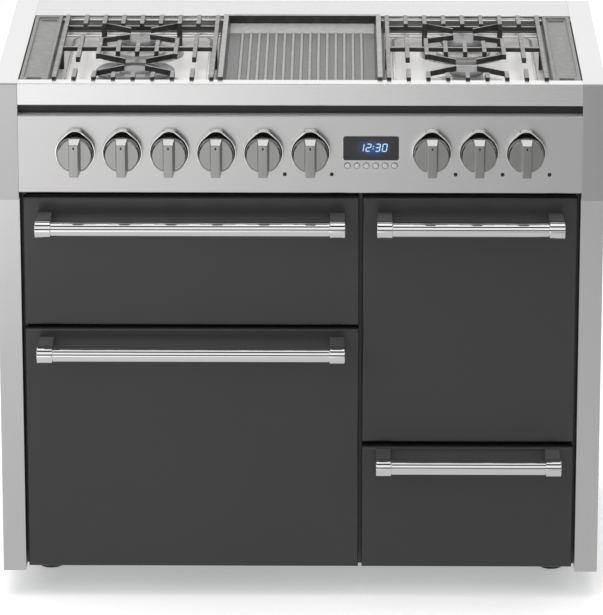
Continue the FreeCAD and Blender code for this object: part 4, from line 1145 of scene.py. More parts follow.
@dataclass
class Hob:
    """Front fascia, rear deck and the pressed pan with its ridges."""

    fascia_edge: float = 0.5 * MM
    deck_edge: float = 0.4 * MM
    pan_edge: float = 0.5 * MM
    pan_fillet: float = 10 * MM
    pan_sheet: float = 1.5 * MM
    finish_reach: float = 1 * MM
    floor_level: float = 0.99
    ridge_width: float = 5 * MM
    ridge_height: float = 1.6 * MM
    ridge_sunk: float = 0.1 * MM
    ridge_corner: float = 25 * MM
    ridge_side: float = 13 * MM
    ridge_front: float = 13.5 * MM
    ridge_back: float = 7.5 * MM
    ridge_crown_share: float = 0.9
    ridge_angle: float = 60.0

    def dress(self, cooker: Cooker) -> None:
        """Finish the hob's sheets.

        Args:
            cooker: The cooker to dress.
        """
        cooker.recast("front_fascia", Look.FASCIA_STEEL, self.fascia_edge)
        cooker.recast("rear_deck", Look.DECK_STEEL, self.deck_edge)
        self.pan(cooker)
        for side in ("left", "right"):
            self.ridge(cooker, side)

    def pan(self, cooker: Cooker) -> None:
        """The pan with its corners and its foot drawn to a radius, painted shade on its rear wall and a
        painted highlight on its floor.

        Args:
            cooker: The cooker to dress.
        """
        low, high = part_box("hob_pan")
        walls = ((low.x + self.pan_sheet, high.x - self.pan_sheet),
                 (low.y + self.pan_sheet, high.y - self.pan_sheet))
        floor = low.z + self.pan_sheet

        def on_walls(point: Vector) -> int:
            """How many of the pan's walls a point lies on."""
            return sum(any(abs(point[axis] - wall) < TOUCH for wall in walls[axis]) for axis in (0, 1))

        def drawn(edge: bmesh.types.BMEdge) -> bool:
            """Whether an edge is one that the press rounds.

            Args:
                edge: The edge.

            Returns:
                True where two walls meet, and where a wall meets the floor.
            """
            first, second = (vertex.co for vertex in edge.verts)
            along_foot = abs(first.z - floor) < TOUCH and abs(second.z - floor) < TOUCH
            needed = 1 if along_foot else 2
            return on_walls(first) >= needed and on_walls(second) >= needed

        piece = cooker.bare("hob_pan", "hob_pan_finished")
        with editing(piece, "EDGE") as mesh:
            pick(piece, mesh.edges, drawn)
            bpy.ops.mesh.bevel(offset=self.pan_fillet, segments=5, affect="EDGES")
        smoothed(bevelled(piece, self.pan_edge))
        cooker.add(piece, Look.PAN_STEEL, "hob_pan", ["hob_pan"])
        rear, foot = walls[1][1] - self.finish_reach, floor + self.finish_reach
        # Painted shade on the rear wall, then a painted highlight on the floor.
        tinted(piece, Look.PAN_WALL, lambda face: face.normal.y < -FACING and face.center.y > rear)
        tinted(piece, Look.PAN_FLOOR, lambda face: face.normal.z > self.floor_level and face.center.z < foot)

    def ridge(self, cooker: Cooker, side: str) -> None:
        """The low ridge pressed round a pair of burners.

        Args:
            cooker: The cooker to dress.
            side: Which pair it goes round, left or right.
        """
        low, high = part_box(f"pan_support_{side}")
        pan_low, pan_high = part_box("hob_pan")
        x = (low.x + self.ridge_side, high.x - self.ridge_side)
        y = (pan_low.y + self.pan_sheet + self.ridge_front, pan_high.y - self.pan_sheet - self.ridge_back)
        floor = pan_low.z + self.pan_sheet
        deselect()
        bpy.ops.mesh.primitive_plane_add(size=1.0, location=(sum(x) / 2, sum(y) / 2, floor - self.ridge_sunk))
        bpy.context.object.scale = (x[1] - x[0], y[1] - y[0], 1.0)
        piece = settled(f"pan_ridge_{side}")
        with editing(piece, "VERT"):
            pick_all()
            bpy.ops.mesh.bevel(offset=self.ridge_corner, segments=10, affect="VERTICES")
            bpy.ops.mesh.select_mode(type="FACE")
            pick_all()
            bpy.ops.mesh.inset(thickness=self.ridge_width)
            bpy.ops.mesh.delete(type="FACE")
            pick_all()
            extrude((0, 0, self.ridge_height))
            face_out()
        crown = self.ridge_crown_share * self.ridge_height
        smoothed(bevelled(piece, crown, 4, self.ridge_angle), self.ridge_angle)
        cooker.add(piece, Look.PAN_STEEL, "hob_pan")


@dataclass
class Burners:
    """Burner bodies with their ports, caps, spark electrodes and flame sensors."""

    body_edge: float = 0.5 * MM
    cap_edge: float = 1.4 * MM
    cap_gap: float = 0.1 * MM
    flange: float = 6 * MM
    cap_rim: float = 4 * MM
    port_pitch: float = 4.2 * MM
    port_height: float = 4.4 * MM
    port_depth: float = 1.6 * MM
    port_proud: float = 0.25 * MM
    port_border: float = 0.55 * MM
    port_floor_share: float = 0.6
    post_out: float = 3 * MM
    post_drop: float = 14 * MM
    spark_turn: float = 213.0
    sensor_turn: float = 28.0

    # Heights above the seat, each with the radius there, in millimetres
    SPARK = ((0, 2.6), (4, 2.6), (4.6, 2.1), (11.5, 2.0), (12.3, 1.4))
    TIP = ((11, 0.9), (13.6, 0.9), (14.2, 0.4))
    SENSOR = ((0, 2.2), (3, 2.2), (3.4, 1.7), (12.6, 1.7), (14.2, 0.8))

    def dress(self, cooker: Cooker) -> None:
        """Finish every burner.

        Args:
            cooker: The cooker to dress.
        """
        bodies = parted(cooker.bare("burner_bodies", "burner_bodies_finished"))
        ports = []
        for piece in bodies:
            low, high = span(piece)
            middle = (low + high) / 2
            ports.append(self.ports(Vector((middle.x, middle.y, high.z)), (high.x - low.x) / 2 - self.flange))
        self.posts(cooker, bodies)
        whole = smoothed(bevelled(joined("burner_bodies_finished", bodies), self.body_edge))
        cooker.add(whole, Look.ALLOY, "burner_bodies", ["burner_bodies"])
        cooker.add(joined("burner_ports", ports), None, "burner_bodies")
        cooker.recast("burner_caps", Look.CAP, self.cap_edge, 3)

    def ports(self, top: Vector, radius: float) -> Piece:
        """The slotted band under a cap.

        Args:
            top: The middle of the crown's top.
            radius: The burner's radius.

        Returns:
            The band, with painted shade in its slots.
        """
        outside = radius - self.cap_rim + self.port_proud
        sides = 2 * round(math.tau * outside / (2 * self.port_pitch)) * 2
        sunk = Vector((0, 0, self.port_height / 2 + self.cap_gap))
        deselect()
        bpy.ops.mesh.primitive_cylinder_add(vertices=sides, radius=outside, depth=self.port_height,
                                            location=top - sunk)
        piece = settled("burner_ports")

        def slotted(face: bmesh.types.BMFace) -> bool:
            """Whether a side of the band has a slot, as every other one has.

            Args:
                face: A face of the band.

            Returns:
                True for every other side.
            """
            middle = face.calc_center_median() - top
            place = int(math.atan2(middle.y, middle.x) / math.tau * sides + sides)
            return abs(face.normal.z) < ASIDE and place % 2 == 0

        with editing(piece) as mesh:
            pick(piece, mesh.faces, slotted)
            bpy.ops.mesh.inset(thickness=self.port_border, depth=-self.port_depth, use_individual=True)
        piece.data.materials.append(Look.ALLOY.material())
        inside = outside - self.port_floor_share * self.port_depth
        # Painted shade on the floors of the slots.
        tinted(smoothed(piece), Look.PORT, lambda face: abs(face.normal.z) < ASIDE and (
            face.center.xy - top.xy).length < inside)
        return piece

    def posts(self, cooker: Cooker, bodies: Sequence[Piece]) -> None:
        """A ceramic spark electrode and a flame sensor beside each burner.

        Args:
            cooker: The cooker to dress.
            bodies: The burner bodies, which they stand on.
        """
        posts = (
            (self.spark_turn, Look.CERAMIC, self.SPARK, 16),
            (self.spark_turn, Look.BRIGHT, self.TIP, 12),
            (self.sensor_turn, Look.BRIGHT, self.SENSOR, 16),
        )
        made = {Look.CERAMIC: [], Look.BRIGHT: []}
        for body in bodies:
            low, high = span(body)
            middle = (low + high) / 2
            out = (high.x - low.x) / 2 - self.flange + self.post_out
            seat = high.z - self.post_drop
            for turn, look, stations, sides in posts:
                angle = math.radians(turn)
                foot = (middle.x + out * math.cos(angle), middle.y + out * math.sin(angle), seat)
                made[look].append(turned("post", foot, (0, 0, 1), profile(stations, MM, MM), sides))
        for name, look in (("spark_ceramics", Look.CERAMIC), ("spark_tips_and_sensors", Look.BRIGHT)):
            cooker.add(smoothed(joined(name, made[look])), look, "burner_bodies")


@dataclass
class Grates:
    """Pan supports, griddle plate and side trays."""

    bar_edge: float = 1.7 * MM
    tray_edge: float = 1.2 * MM
    plate_edge: float = 0.7 * MM
    top_lean: float = 0.7
    ramp_level: float = 0.99
    ramp_lean: float = 0.03
    rear_wall: float = 6 * MM
    ramp_length: float = 60 * MM
    rim_top: float = 1 * MM
    rib_drop: float = 15.8 * MM

    def dress(self, cooker: Cooker) -> None:
        """Finish the castings.

        Args:
            cooker: The cooker to dress.
        """
        for side in ("left", "right"):
            support = cooker.recast(f"pan_support_{side}", Look.IRON, self.bar_edge, 3)
            # Painted highlight on the supports' upward faces.
            tinted(support, Look.IRON_TOP, lambda face: face.normal.z > self.top_lean)
            cooker.recast(f"side_tray_{side}", Look.TRAY, self.tray_edge, 3)
        self.griddle(cooker)

    def griddle(self, cooker: Cooker) -> None:
        """The griddle plate, with painted highlights on its rims, ribs and ramp and painted shade on its rear
        wall.

        Args:
            cooker: The cooker to dress.
        """
        plate = cooker.recast("griddle_plate", Look.PLATE, self.plate_edge, 3)
        low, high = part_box("griddle_plate")
        rims, ribs = high.z - self.rim_top, high.z - self.rib_drop
        ramp = high.y - self.rear_wall - self.ramp_length
        tops = {face.index: face.center.z for face in plate.data.polygons if face.normal.z > self.top_lean}
        # Painted highlights on rims, ribs and ramp, then painted shade on the rear wall.
        tinted(plate, Look.PLATE_PALE, lambda face: tops.get(face.index, low.z) > rims)
        tinted(plate, Look.PLATE_RIB, lambda face: rims > tops.get(face.index, low.z) > ribs)
        tinted(plate, Look.PLATE_RAMP, lambda face: (
            face.normal.z > self.ramp_level and face.normal.y < -self.ramp_lean))
        tinted(plate, Look.PLATE_DARK, lambda face: (
            abs(face.normal.z) < ASIDE and face.normal.y < -ASIDE and face.center.y > ramp))


@dataclass
class Knobs:
    """Nine knobs and the cups that they stand in."""

    count: int = 9
    cup_edge: float = 0.8 * MM
    cup_rim: float = 1.2 * MM
    cup_floor: float = 6.2 * MM
    cup_rise: float = 9 * MM
    cup_crest: float = 36 * MM
    crest_lean: float = 0.8
    flank_lean: float = 0.3
    grip_half: float = 28.5 * MM
    grip_depth: float = 29 * MM
    grip_edge: float = 0.7 * MM
    front_reach: float = 0.2 * MM
    end_reach: float = 0.5 * MM
    end_slope: float = 3 * MM
    end_rounding: float = 4 * MM
    mark_below: float = 5.5 * MM
    mark_width: float = 3.0 * MM
    mark_height: float = 5.0 * MM
    mark_thickness: float = 0.2 * MM
    mark_sunk: float = 0.3 * MM
    mark_sides: int = 24
    recess_depth: float = 0.5 * MM
    recess_reach: float = 2 * MM
    recess_share: float = 0.6

    # Distances in shares of the pill's thickness, each with the radius in shares of its width
    PILL_SHARES = ((-0.5, 0.42), (-0.35, 0.5), (0.5, 0.5))

    def dress(self, cooker: Cooker) -> None:
        """Finish the cups, and model the knob once for all nine.

        Args:
            cooker: The cooker to dress.
        """
        centres = [self.centre(number) for number in range(1, self.count + 1)]
        self.cups(cooker, centres)
        first = self.knob(cooker, centres[0])
        mark = self.mark(centres[0])
        for number, centre in reversed(list(enumerate(centres, 1))):
            move = Matrix.Translation(centre - centres[0])
            for source, name, look, replaces in (
                    (first, f"knob_{number}_finished", None, [f"knob_{number}"]),
                    (mark, f"knob_{number}_mark", Look.MARK, [])):
                cooker.add(copied(source, name, move), look, f"knob_{number}", replaces)
        removed(first, mark)

    def centre(self, number: int) -> Vector:
        """The middle of a knob's front."""
        low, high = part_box(f"knob_{number}")
        return Vector(((low.x + high.x) / 2, low.y, (low.z + high.z) / 2))

    def knob(self, cooker: Cooker, centre: Vector) -> Piece:
        """The knob with its grip's upper end sloped back and given a painted highlight, and a recess for its
        mark.

        Args:
            cooker: The cooker to dress.
            centre: The middle of the first knob's front.

        Returns:
            The first knob, to be copied.
        """
        piece = cooker.bare("knob_1", "knob")
        top = centre.z + self.grip_half
        front, end = centre.y + self.front_reach, top - self.end_reach
        with editing(piece, "VERT") as mesh:
            pick(piece, mesh.verts, lambda vertex: vertex.co.y < front and vertex.co.z > end)
            bpy.ops.transform.translate(value=(0, 0, -self.end_slope))
        bevelled(piece, self.grip_edge, 3)
        carved(piece, self.pill(centre, 2 * self.recess_depth, 0.0))
        clothed(smoothed(piece), Look.KNOB_SATIN)
        sloped, back = top - self.end_rounding, centre.y + self.grip_depth
        # Painted highlight on the sloped upper end of the grip.
        tinted(piece, Look.KNOB_END, lambda face: (
            face.normal.z > FACING and face.center.z > sloped and face.center.y < back))
        floor, half = centre.y + self.recess_reach, self.recess_share * self.mark_width
        tinted(piece, Look.MARK, lambda face: (
            face.center.y < floor and abs(face.center.x - centre.x) < half
            and abs(face.normal.y) < ASIDE and face.center.z > centre.z))
        return piece

    def pill(self, centre: Vector, thickness: float, sunk: float) -> Piece:
        """An oval pill in the place of the mark.

        Args:
            centre: The middle of the knob's front.
            thickness: How thick the pill is.
            sunk: How far its middle lies behind the front.

        Returns:
            The pill.
        """
        middle = centre + Vector((0, sunk, self.grip_half - self.end_slope - self.mark_below))
        piece = turned("pill", middle, (0, 1, 0), profile(self.PILL_SHARES, thickness, self.mark_width),
                       self.mark_sides)
        longer = self.mark_height / self.mark_width
        with editing(piece):
            pick_all()
            bpy.ops.transform.resize(value=(1.0, 1.0, longer), center_override=middle)
        return piece

    def mark(self, centre: Vector) -> Piece:
        """The dark inlay that shows where the knob points."""
        return smoothed(self.pill(centre, self.mark_thickness, self.mark_sunk))

    def cups(self, cooker: Cooker, centres: Sequence[Vector]) -> None:
        """The egg-shaped cups, with painted shade inside and on their right flanks and a painted highlight on
        their crests and left flanks.

        Args:
            cooker: The cooker to dress.
            centres: The middles of the knobs' fronts.
        """
        piece = cooker.recast("knob_bezels", Look.CHROME, self.cup_edge, 3)
        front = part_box("knob_bezels")[0].y
        rim, floor = front + self.cup_rim, front + self.cup_floor

        def inside(face: bpy.types.MeshPolygon) -> bool:
            """Whether a face belongs to the inside of a cup.

            Args:
                face: A face of the cups.

            Returns:
                True for a cup's floor, and for a wall that looks at its middle.
            """
            centre = min(centres, key=lambda place: abs(place.x - face.center.x))
            out = Vector((face.center.x - centre.x, 0, face.center.z - centre.z - self.cup_rise))
            if face.normal.y < -FACING:
                return face.center.y > floor
            return face.center.y > rim and face.normal.dot(out) < 0 and abs(face.normal.y) < ASIDE

        # Painted shade inside each cup.
        tinted(piece, Look.CUP_INSIDE, inside)
        crest = centres[0].z + self.cup_crest
        outside = [face for face in piece.data.polygons if face.center.y > rim and not inside(face)]
        crests = {face.index for face in outside if face.normal.z > self.crest_lean and face.center.z > crest}
        flanks = {
            face.index: face.normal.x for face in outside
            if self.flank_lean < face.normal.z < self.crest_lean and abs(face.normal.x) > self.flank_lean}
        # Painted highlight on the cups' crests and left flanks.
        tinted(piece, Look.KNOB_END, lambda face: face.index in crests or flanks.get(face.index, 1.0) < 0)
        # Painted shade on the cups' right flanks.
        tinted(piece, Look.CUP_SHADE, lambda face: flanks.get(face.index, -1.0) > 0)


@dataclass
class Timer:
    """Display window with its frame and figures, and six push buttons."""

    buttons: int = 6
    button_edge: float = 0.9 * MM
    frame_width: float = 1.1 * MM
    frame_corner: float = 3.6 * MM
    frame_proud: float = 0.5 * MM
    frame_front_gap: float = 0.1 * MM
    frame_back_gap: float = 0.12 * MM
    glass_sunk_share: float = 0.8
    glass_reach: float = 0.2 * MM
    window: tuple[float, float] = (91.4 * MM, 41 * MM)
    figure_size: tuple[float, float] = (6.9 * MM, 12.2 * MM)
    figure_pitch: float = 11.4 * MM
    figures_proud: float = 0.3 * MM
    colon_gap: float = 3.8 * MM
    dot_rise_share: float = 0.17
    dot_share: float = 0.75
    stroke: float = 1.5 * MM
    stroke_gap: float = 0.3 * MM
    stroke_depth: float = 0.12 * MM
    slant: float = 9.0

    # Where each stroke lies in half sizes of a figure, and whether it is upright
    STROKES = {"a": (0, 1, 0), "b": (1, 0.5, 1), "c": (1, -0.5, 1), "d": (0, -1, 0), "e": (-1, -0.5, 1),
               "f": (-1, 0.5, 1), "g": (0, 0, 0)}
    FIGURES = ("bc", "abged", "abgcd", "abcdef")

    def dress(self, cooker: Cooker) -> None:
        """Finish the timer.

        Args:
            cooker: The cooker to dress.
        """
        cooker.paint("timer_display", Look.WINDOW)
        self.frame(cooker)
        self.figures(cooker)
        for number in range(1, self.buttons + 1):
            cooker.recast(f"timer_button_{number}", Look.BRIGHT, self.button_edge, 4)

    def frame(self, cooker: Cooker) -> None:
        """A thin bright frame with rounded corners, and the glass inside it.

        Args:
            cooker: The cooker to dress.
        """
        centre = figures_middle() - Vector((FIGURES_ASIDE, 0, FIGURES_UP))
        half = Vector((self.window[0] / 2 + self.frame_width, 0, self.window[1] / 2 + self.frame_width))
        front = centre - half - Vector((0, self.frame_proud + self.frame_front_gap, 0))
        back = centre + half - Vector((0, self.frame_back_gap, 0))
        piece = slab("timer_frame", front, back, self.frame_corner + self.frame_width)
        with editing(piece) as mesh:
            pick(piece, mesh.faces, lambda face: face.normal.y < -FACING)
            bpy.ops.mesh.inset(thickness=self.frame_width)
            extrude((0, self.glass_sunk_share * self.frame_proud, 0))
        glass = centre.y - self.frame_proud + self.glass_reach
        smoothed(piece)
        piece.data.materials.append(Look.BRIGHT.material())
        tinted(piece, Look.WINDOW, lambda face: face.normal.y < -FACING and face.center.y > glass)
        cooker.add(piece, None, "timer_display")

    def figures(self, cooker: Cooker) -> None:
        """Lit figures of seven strokes, leaning to the right, and the two dots between them.

        Args:
            cooker: The cooker to dress.
        """
        radius = self.stroke / math.sqrt(3)
        width, height = self.figure_size
        reach = width / 2 - radius - self.stroke_gap
        stroke = rod("stroke", (0, 0, 0), (0, self.stroke_depth, 0), radius, sides=6)
        with editing(stroke, "VERT") as mesh:
            for side in (-1, 1):
                pick(stroke, mesh.verts, lambda vertex: side * vertex.co.x > TOUCH)
                bpy.ops.transform.translate(value=(side * reach, 0, 0))
        dot = rod("dot", (0, 0, 0), (0, self.stroke_depth, 0), self.dot_share * self.stroke, sides=4)
        lean = Matrix.Identity(4)
        lean[0][2] = math.tan(math.radians(self.slant))
        face = Matrix.Translation(figures_middle() - Vector((0, self.figures_proud, 0))) @ lean
        lit = []
        for index, letters in enumerate(self.FIGURES):
            from_colon = index - (len(self.FIGURES) - 1) / 2
            across = from_colon * self.figure_pitch + math.copysign(self.colon_gap / 2, from_colon)
            for letter in letters:
                side, up, upright = self.STROKES[letter]
                place = Matrix.Translation((across + side * width / 2, 0, up * height / 2))
                spin = Matrix.Rotation(math.radians(90 * upright), 4, "Y")
                lit.append(copied(stroke, "stroke", face @ place @ spin))
        for up in (-self.dot_rise_share, self.dot_rise_share):
            lit.append(copied(dot, "dot", face @ Matrix.Translation((0, 0, up * height))))
        removed(stroke, dot)
        cooker.add(joined("timer_figures", lit), Look.DIGIT, "timer_display")


@dataclass
class Panel:
    """Control panel, lamps, and the gas parts behind them."""

    panel_edge: float = 0.4 * MM
    lamp_edge: float = 0.5 * MM
    step_height: float = 17.5 * MM
    step_reach: float = 1 * MM

    def dress(self, cooker: Cooker) -> None:
        """Finish the panel, with painted shade in the step under the fascia.

        Args:
            cooker: The cooker to dress.
        """
        panel = cooker.recast("control_panel", Look.PANEL_STEEL, self.panel_edge)
        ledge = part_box("control_panel")[1].z - self.step_height
        # Painted shade: the step's back wall near black and its ledge darker than the panel.
        tinted(panel, Look.SHADE_WALL, lambda face: (
            face.normal.y < -FACING and face.center.z > ledge + self.step_reach))
        tinted(panel, Look.LEDGE_STEEL, lambda face: (
            face.normal.z > FACING and abs(face.center.z - ledge) < self.step_reach))
        cooker.recast("indicator_lamps", Look.LENS, self.lamp_edge, 3)
        cooker.paint("control_valves", Look.ZINC)
        cooker.paint("gas_rail", Look.BRASS)


@dataclass
class Handle:
    """A chrome bar with its ferrules on two enamelled brackets."""

    front: str
    standoff: float = 60 * MM
    tube_radius: float = 12.5 * MM
    tube_sides: int = 72
    ferrule_radius: float = 15 * MM
    ferrule_length: float = 26 * MM
    ferrule_edge: float = 1.6 * MM
    ferrule_chamfer_share: float = 0.3
    seam_radius: float = 11.6 * MM
    seam_width: float = 0.8 * MM
    bracket_edge: float = 1.4 * MM
    bracket_reach: float = 0.5 * MM

    def dress(self, cooker: Cooker) -> None:
        """Make the bar and keep the brackets.

        Args:
            cooker: The cooker to dress.
        """
        node = f"{self.front}_handle"
        low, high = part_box(node)
        self.brackets(cooker, node, high.y)
        start = Vector((low.x, high.y - self.standoff, low.z + self.ferrule_radius))
        length = high.x - low.x
        end = self.ferrule()
        stations = end + [(length - distance, radius) for distance, radius in reversed(end)]
        bar = smoothed(turned(f"{self.front}_handle_bar", start, (1, 0, 0), stations, self.tube_sides))
        cooker.add(bar, Look.CHROME, node, [node])

    def ferrule(self) -> list[tuple[float, float]]:
        """One end of the bar: a rounded ferrule, the seam and the start of the tube.

        Returns:
            Its stations.
        """
        wide, edge, end = self.ferrule_radius, self.ferrule_edge, self.ferrule_length
        chamfer = self.ferrule_chamfer_share * edge
        return [(0.0, wide - edge), (chamfer, wide - chamfer), (edge, wide), (end - edge, wide),
                (end - chamfer, wide - chamfer), (end, wide - edge), (end, self.seam_radius),
                (end + self.seam_width, self.seam_radius), (end + self.seam_width, self.tube_radius)]

    def brackets(self, cooker: Cooker, node: str, door: float) -> None:
        """The two brackets between the ferrules and the door.

        Args:
            cooker: The cooker to dress.
            node: The handle's node.
            door: The face of the door, which the brackets reach.
        """
        kept = []
        for piece in parted(cooker.bare(node, "handle_part")):
            if abs(span(piece)[1].y - door) < self.bracket_reach:
                kept.append(piece)
            else:
                removed(piece)
        whole = smoothed(bevelled(joined(f"{self.front}_brackets", kept), self.bracket_edge, 3))
        cooker.add(whole, Look.BRACKET, node, [node])


@dataclass
class Fronts:
    """Doors with their glass, the drawer, handles and hinges."""

    skin_edge: float = 0.3 * MM
    sheet_edge: float = 0.5 * MM
    pane_inset: float = 60 * MM
    pane_recess: float = 2 * MM
    pane_gap: float = 0.4 * MM
    pane_corner: float = 8 * MM
    pane_edge: float = 0.4 * MM
    pane_angle: float = 60.0
    screw_radius: float = 3.4 * MM
    screw_height: float = 1.0 * MM
    screw_inset: float = 28 * MM
    screw_sides: int = 20

    DOORS = ("grill_door", "main_door", "tall_door")
    # Distances in shares of the screw's height, each with the radius in shares of the screw's
    HEAD_SHARES = ((-0.5, 0.9), (0.0, 1.0), (0.35, 1.0), (0.75, 0.82), (1.0, 0.45))
    # The cross's half length and half width in shares of the radius, and its ends in shares of the height
    CROSS_SHARES = (0.62, 0.13)
    CROSS_DEPTH_SHARES = (0.45, 2)

    def dress(self, cooker: Cooker) -> None:
        """Finish what opens.

        Args:
            cooker: The cooker to dress.
        """
        for door in self.DOORS:
            cooker.recast(f"{door}_skin", Look.CHARCOAL, self.skin_edge)
            cooker.recast(f"{door}_inner_panel", Look.OVEN, self.sheet_edge)
            self.pane(cooker, door)
            self.screws(cooker, door)
        cooker.recast("drawer_front", Look.CHARCOAL, self.skin_edge)
        for front in (*self.DOORS, "drawer"):
            Handle(front).dress(cooker)
        for node in ("drawer_box", "door_hinges"):
            cooker.recast(node, Look.ZINC, self.sheet_edge)
        cooker.paint("drawer_runners", Look.ZINC)

    def pane(self, cooker: Cooker, door: str) -> None:
        """The inner glass in the recess of a door's inner panel.

        Args:
            cooker: The cooker to dress.
            door: The door's name.
        """
        low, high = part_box(f"{door}_inner_panel")
        margin = Vector((self.pane_inset + self.pane_gap, 0, self.pane_inset / 2 + self.pane_gap))
        bottom, top = low + margin, high - margin
        bottom.y, top.y = high.y - self.pane_recess, high.y - self.pane_gap
        piece = slab(f"{door}_glass", bottom, top, self.pane_corner)
        smoothed(bevelled(piece, self.pane_edge, 2, self.pane_angle))
        cooker.add(piece, Look.PANE, f"{door}_inner_panel")

    def screw(self) -> Piece:
        """A pan head with a cross recess, its seat at the origin and its top towards +Y.

        Returns:
            The head, to be copied.
        """
        wide, tall = self.screw_radius, self.screw_height
        piece = turned("door_screw", (0, 0, 0), (0, 1, 0), profile(self.HEAD_SHARES, tall, wide),
                       self.screw_sides)
        return smoothed(crossed(piece, tuple(share * wide for share in self.CROSS_SHARES),
                                tuple(share * tall for share in self.CROSS_DEPTH_SHARES)))

    def screws(self, cooker: Cooker, door: str) -> None:
        """Four screws that hold a door's inner panel.

        Args:
            cooker: The cooker to dress.
            door: The door's name.
        """
        low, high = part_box(f"{door}_inner_panel")
        head = self.screw()
        heads = [copied(head, "door_screw", Matrix.Translation((x, high.y, z)))
                 for x in (low.x + self.screw_inset, high.x - self.screw_inset)
                 for z in (low.z + self.screw_inset, high.z - self.screw_inset)]
        removed(head)
        cooker.add(joined(f"{door}_screws", heads), Look.BRIGHT, f"{door}_inner_panel")


@dataclass
class Ovens:
    """Liners, racks, elements, the fan with its guard, and the lamps."""

    liner_edge: float = 0.8 * MM
    guard_radius: float = 86 * MM
    guard_sheet: float = 1.2 * MM
    guard_gap: float = 1.6 * MM
    guard_edge: float = 0.3 * MM
    guard_sides: int = 60
    guard_step: int = 4
    lamp_radius: float = 21 * MM
    lamp_inset: float = 52 * MM
    lamp_sunk: float = 2 * MM
    lamp_sides: int = 40

    # Heights above the wall in millimetres, each with the share of the radius there
    LAMP = ((0.0, 1.0), (3, 1.0), (4, 0.95), (4, 0.86), (7, 0.80), (9.5, 0.62), (11, 0.36), (11.4, 0.08))
    # The edges of the guard's two rings of slots, in shares of its radius
    RING_SHARES = (0.90, 0.62, 0.54, 0.26)
    # Each node with its finish, the rounding of its edges and the faces across it
    FITTINGS = (
        ("door_seals", Look.RUBBER, 1.5 * MM, 3),
        ("oven_racks", Look.WIRE, 1.4 * MM, 3),
        ("heating_elements", Look.SHEATH, 2.6 * MM, 3),
        ("main_oven_fan", Look.ALLOY, 0.4 * MM, 2),
        ("fan_motor", Look.ZINC, 1.5 * MM, 2),
        ("terminal_box", Look.FOOT, 1.5 * MM, 2),
    )

    def dress(self, cooker: Cooker) -> None:
        """Finish the ovens.

        Args:
            cooker: The cooker to dress.
        """
        for oven in ("grill_oven", "main_oven", "tall_oven"):
            cooker.recast(f"{oven}_liner", Look.OVEN, self.liner_edge)
            self.lamp(cooker, oven)
        cooker.paint("oven_face_frame", Look.OVEN)
        for node, look, edge, segments in self.FITTINGS:
            cooker.recast(node, look, edge, segments)
        self.guard(cooker)

    def lamp(self, cooker: Cooker, oven: str) -> None:
        """The glass of an oven lamp, high on the back wall.

        Args:
            cooker: The cooker to dress.
            oven: The oven that it lights.
        """
        low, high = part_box(f"{oven}_liner")
        place = (low.x + self.lamp_inset, high.y - self.lamp_sunk, high.z - self.lamp_inset)
        piece = turned(f"{oven}_lamp", place, (0, -1, 0), profile(self.LAMP, MM, self.lamp_radius),
                       self.lamp_sides)
        cooker.add(smoothed(piece), Look.LAMP_GLASS, f"{oven}_liner")

    def guard(self, cooker: Cooker) -> None:
        """The pressed guard in front of the fan: a disc with two rings of slots.

        Args:
            cooker: The cooker to dress.
        """
        low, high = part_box("main_oven_fan")
        centre = Vector(((low.x + high.x) / 2, low.y - self.guard_gap, (low.z + high.z) / 2))
        deselect()
        bpy.ops.mesh.primitive_circle_add(vertices=self.guard_sides, radius=self.guard_radius,
                                          fill_type="NGON", location=centre,
                                          rotation=(math.radians(90), 0, 0))
        piece = settled("fan_guard")
        rings = [self.guard_radius * share for share in self.RING_SHARES]

        def slotted(face: bmesh.types.BMFace) -> bool:
            """Whether a face lies in a slot, as three of every four do in the second and fourth rings.

            Args:
                face: A face of the disc.

            Returns:
                True where the sheet is cut away.
            """
            middle = face.calc_center_median() - centre
            place = int((math.atan2(middle.z, middle.x) / math.tau + 1) * self.guard_sides)
            out = middle.length
            return place % self.guard_step != 0 and (rings[1] < out < rings[0] or rings[3] < out < rings[2])

        with editing(piece) as mesh:
            pick_all()
            for wide, ring in zip([self.guard_radius] + rings, rings):
                bpy.ops.mesh.inset(thickness=wide - ring)
            pick(piece, mesh.faces, slotted)
            bpy.ops.mesh.delete(type="FACE")
        modified(piece, "SOLIDIFY", thickness=self.guard_sheet)
        with editing(piece):
            face_out()
        cooker.add(smoothed(bevelled(piece, self.guard_edge)), Look.OVEN, "main_oven_liner")


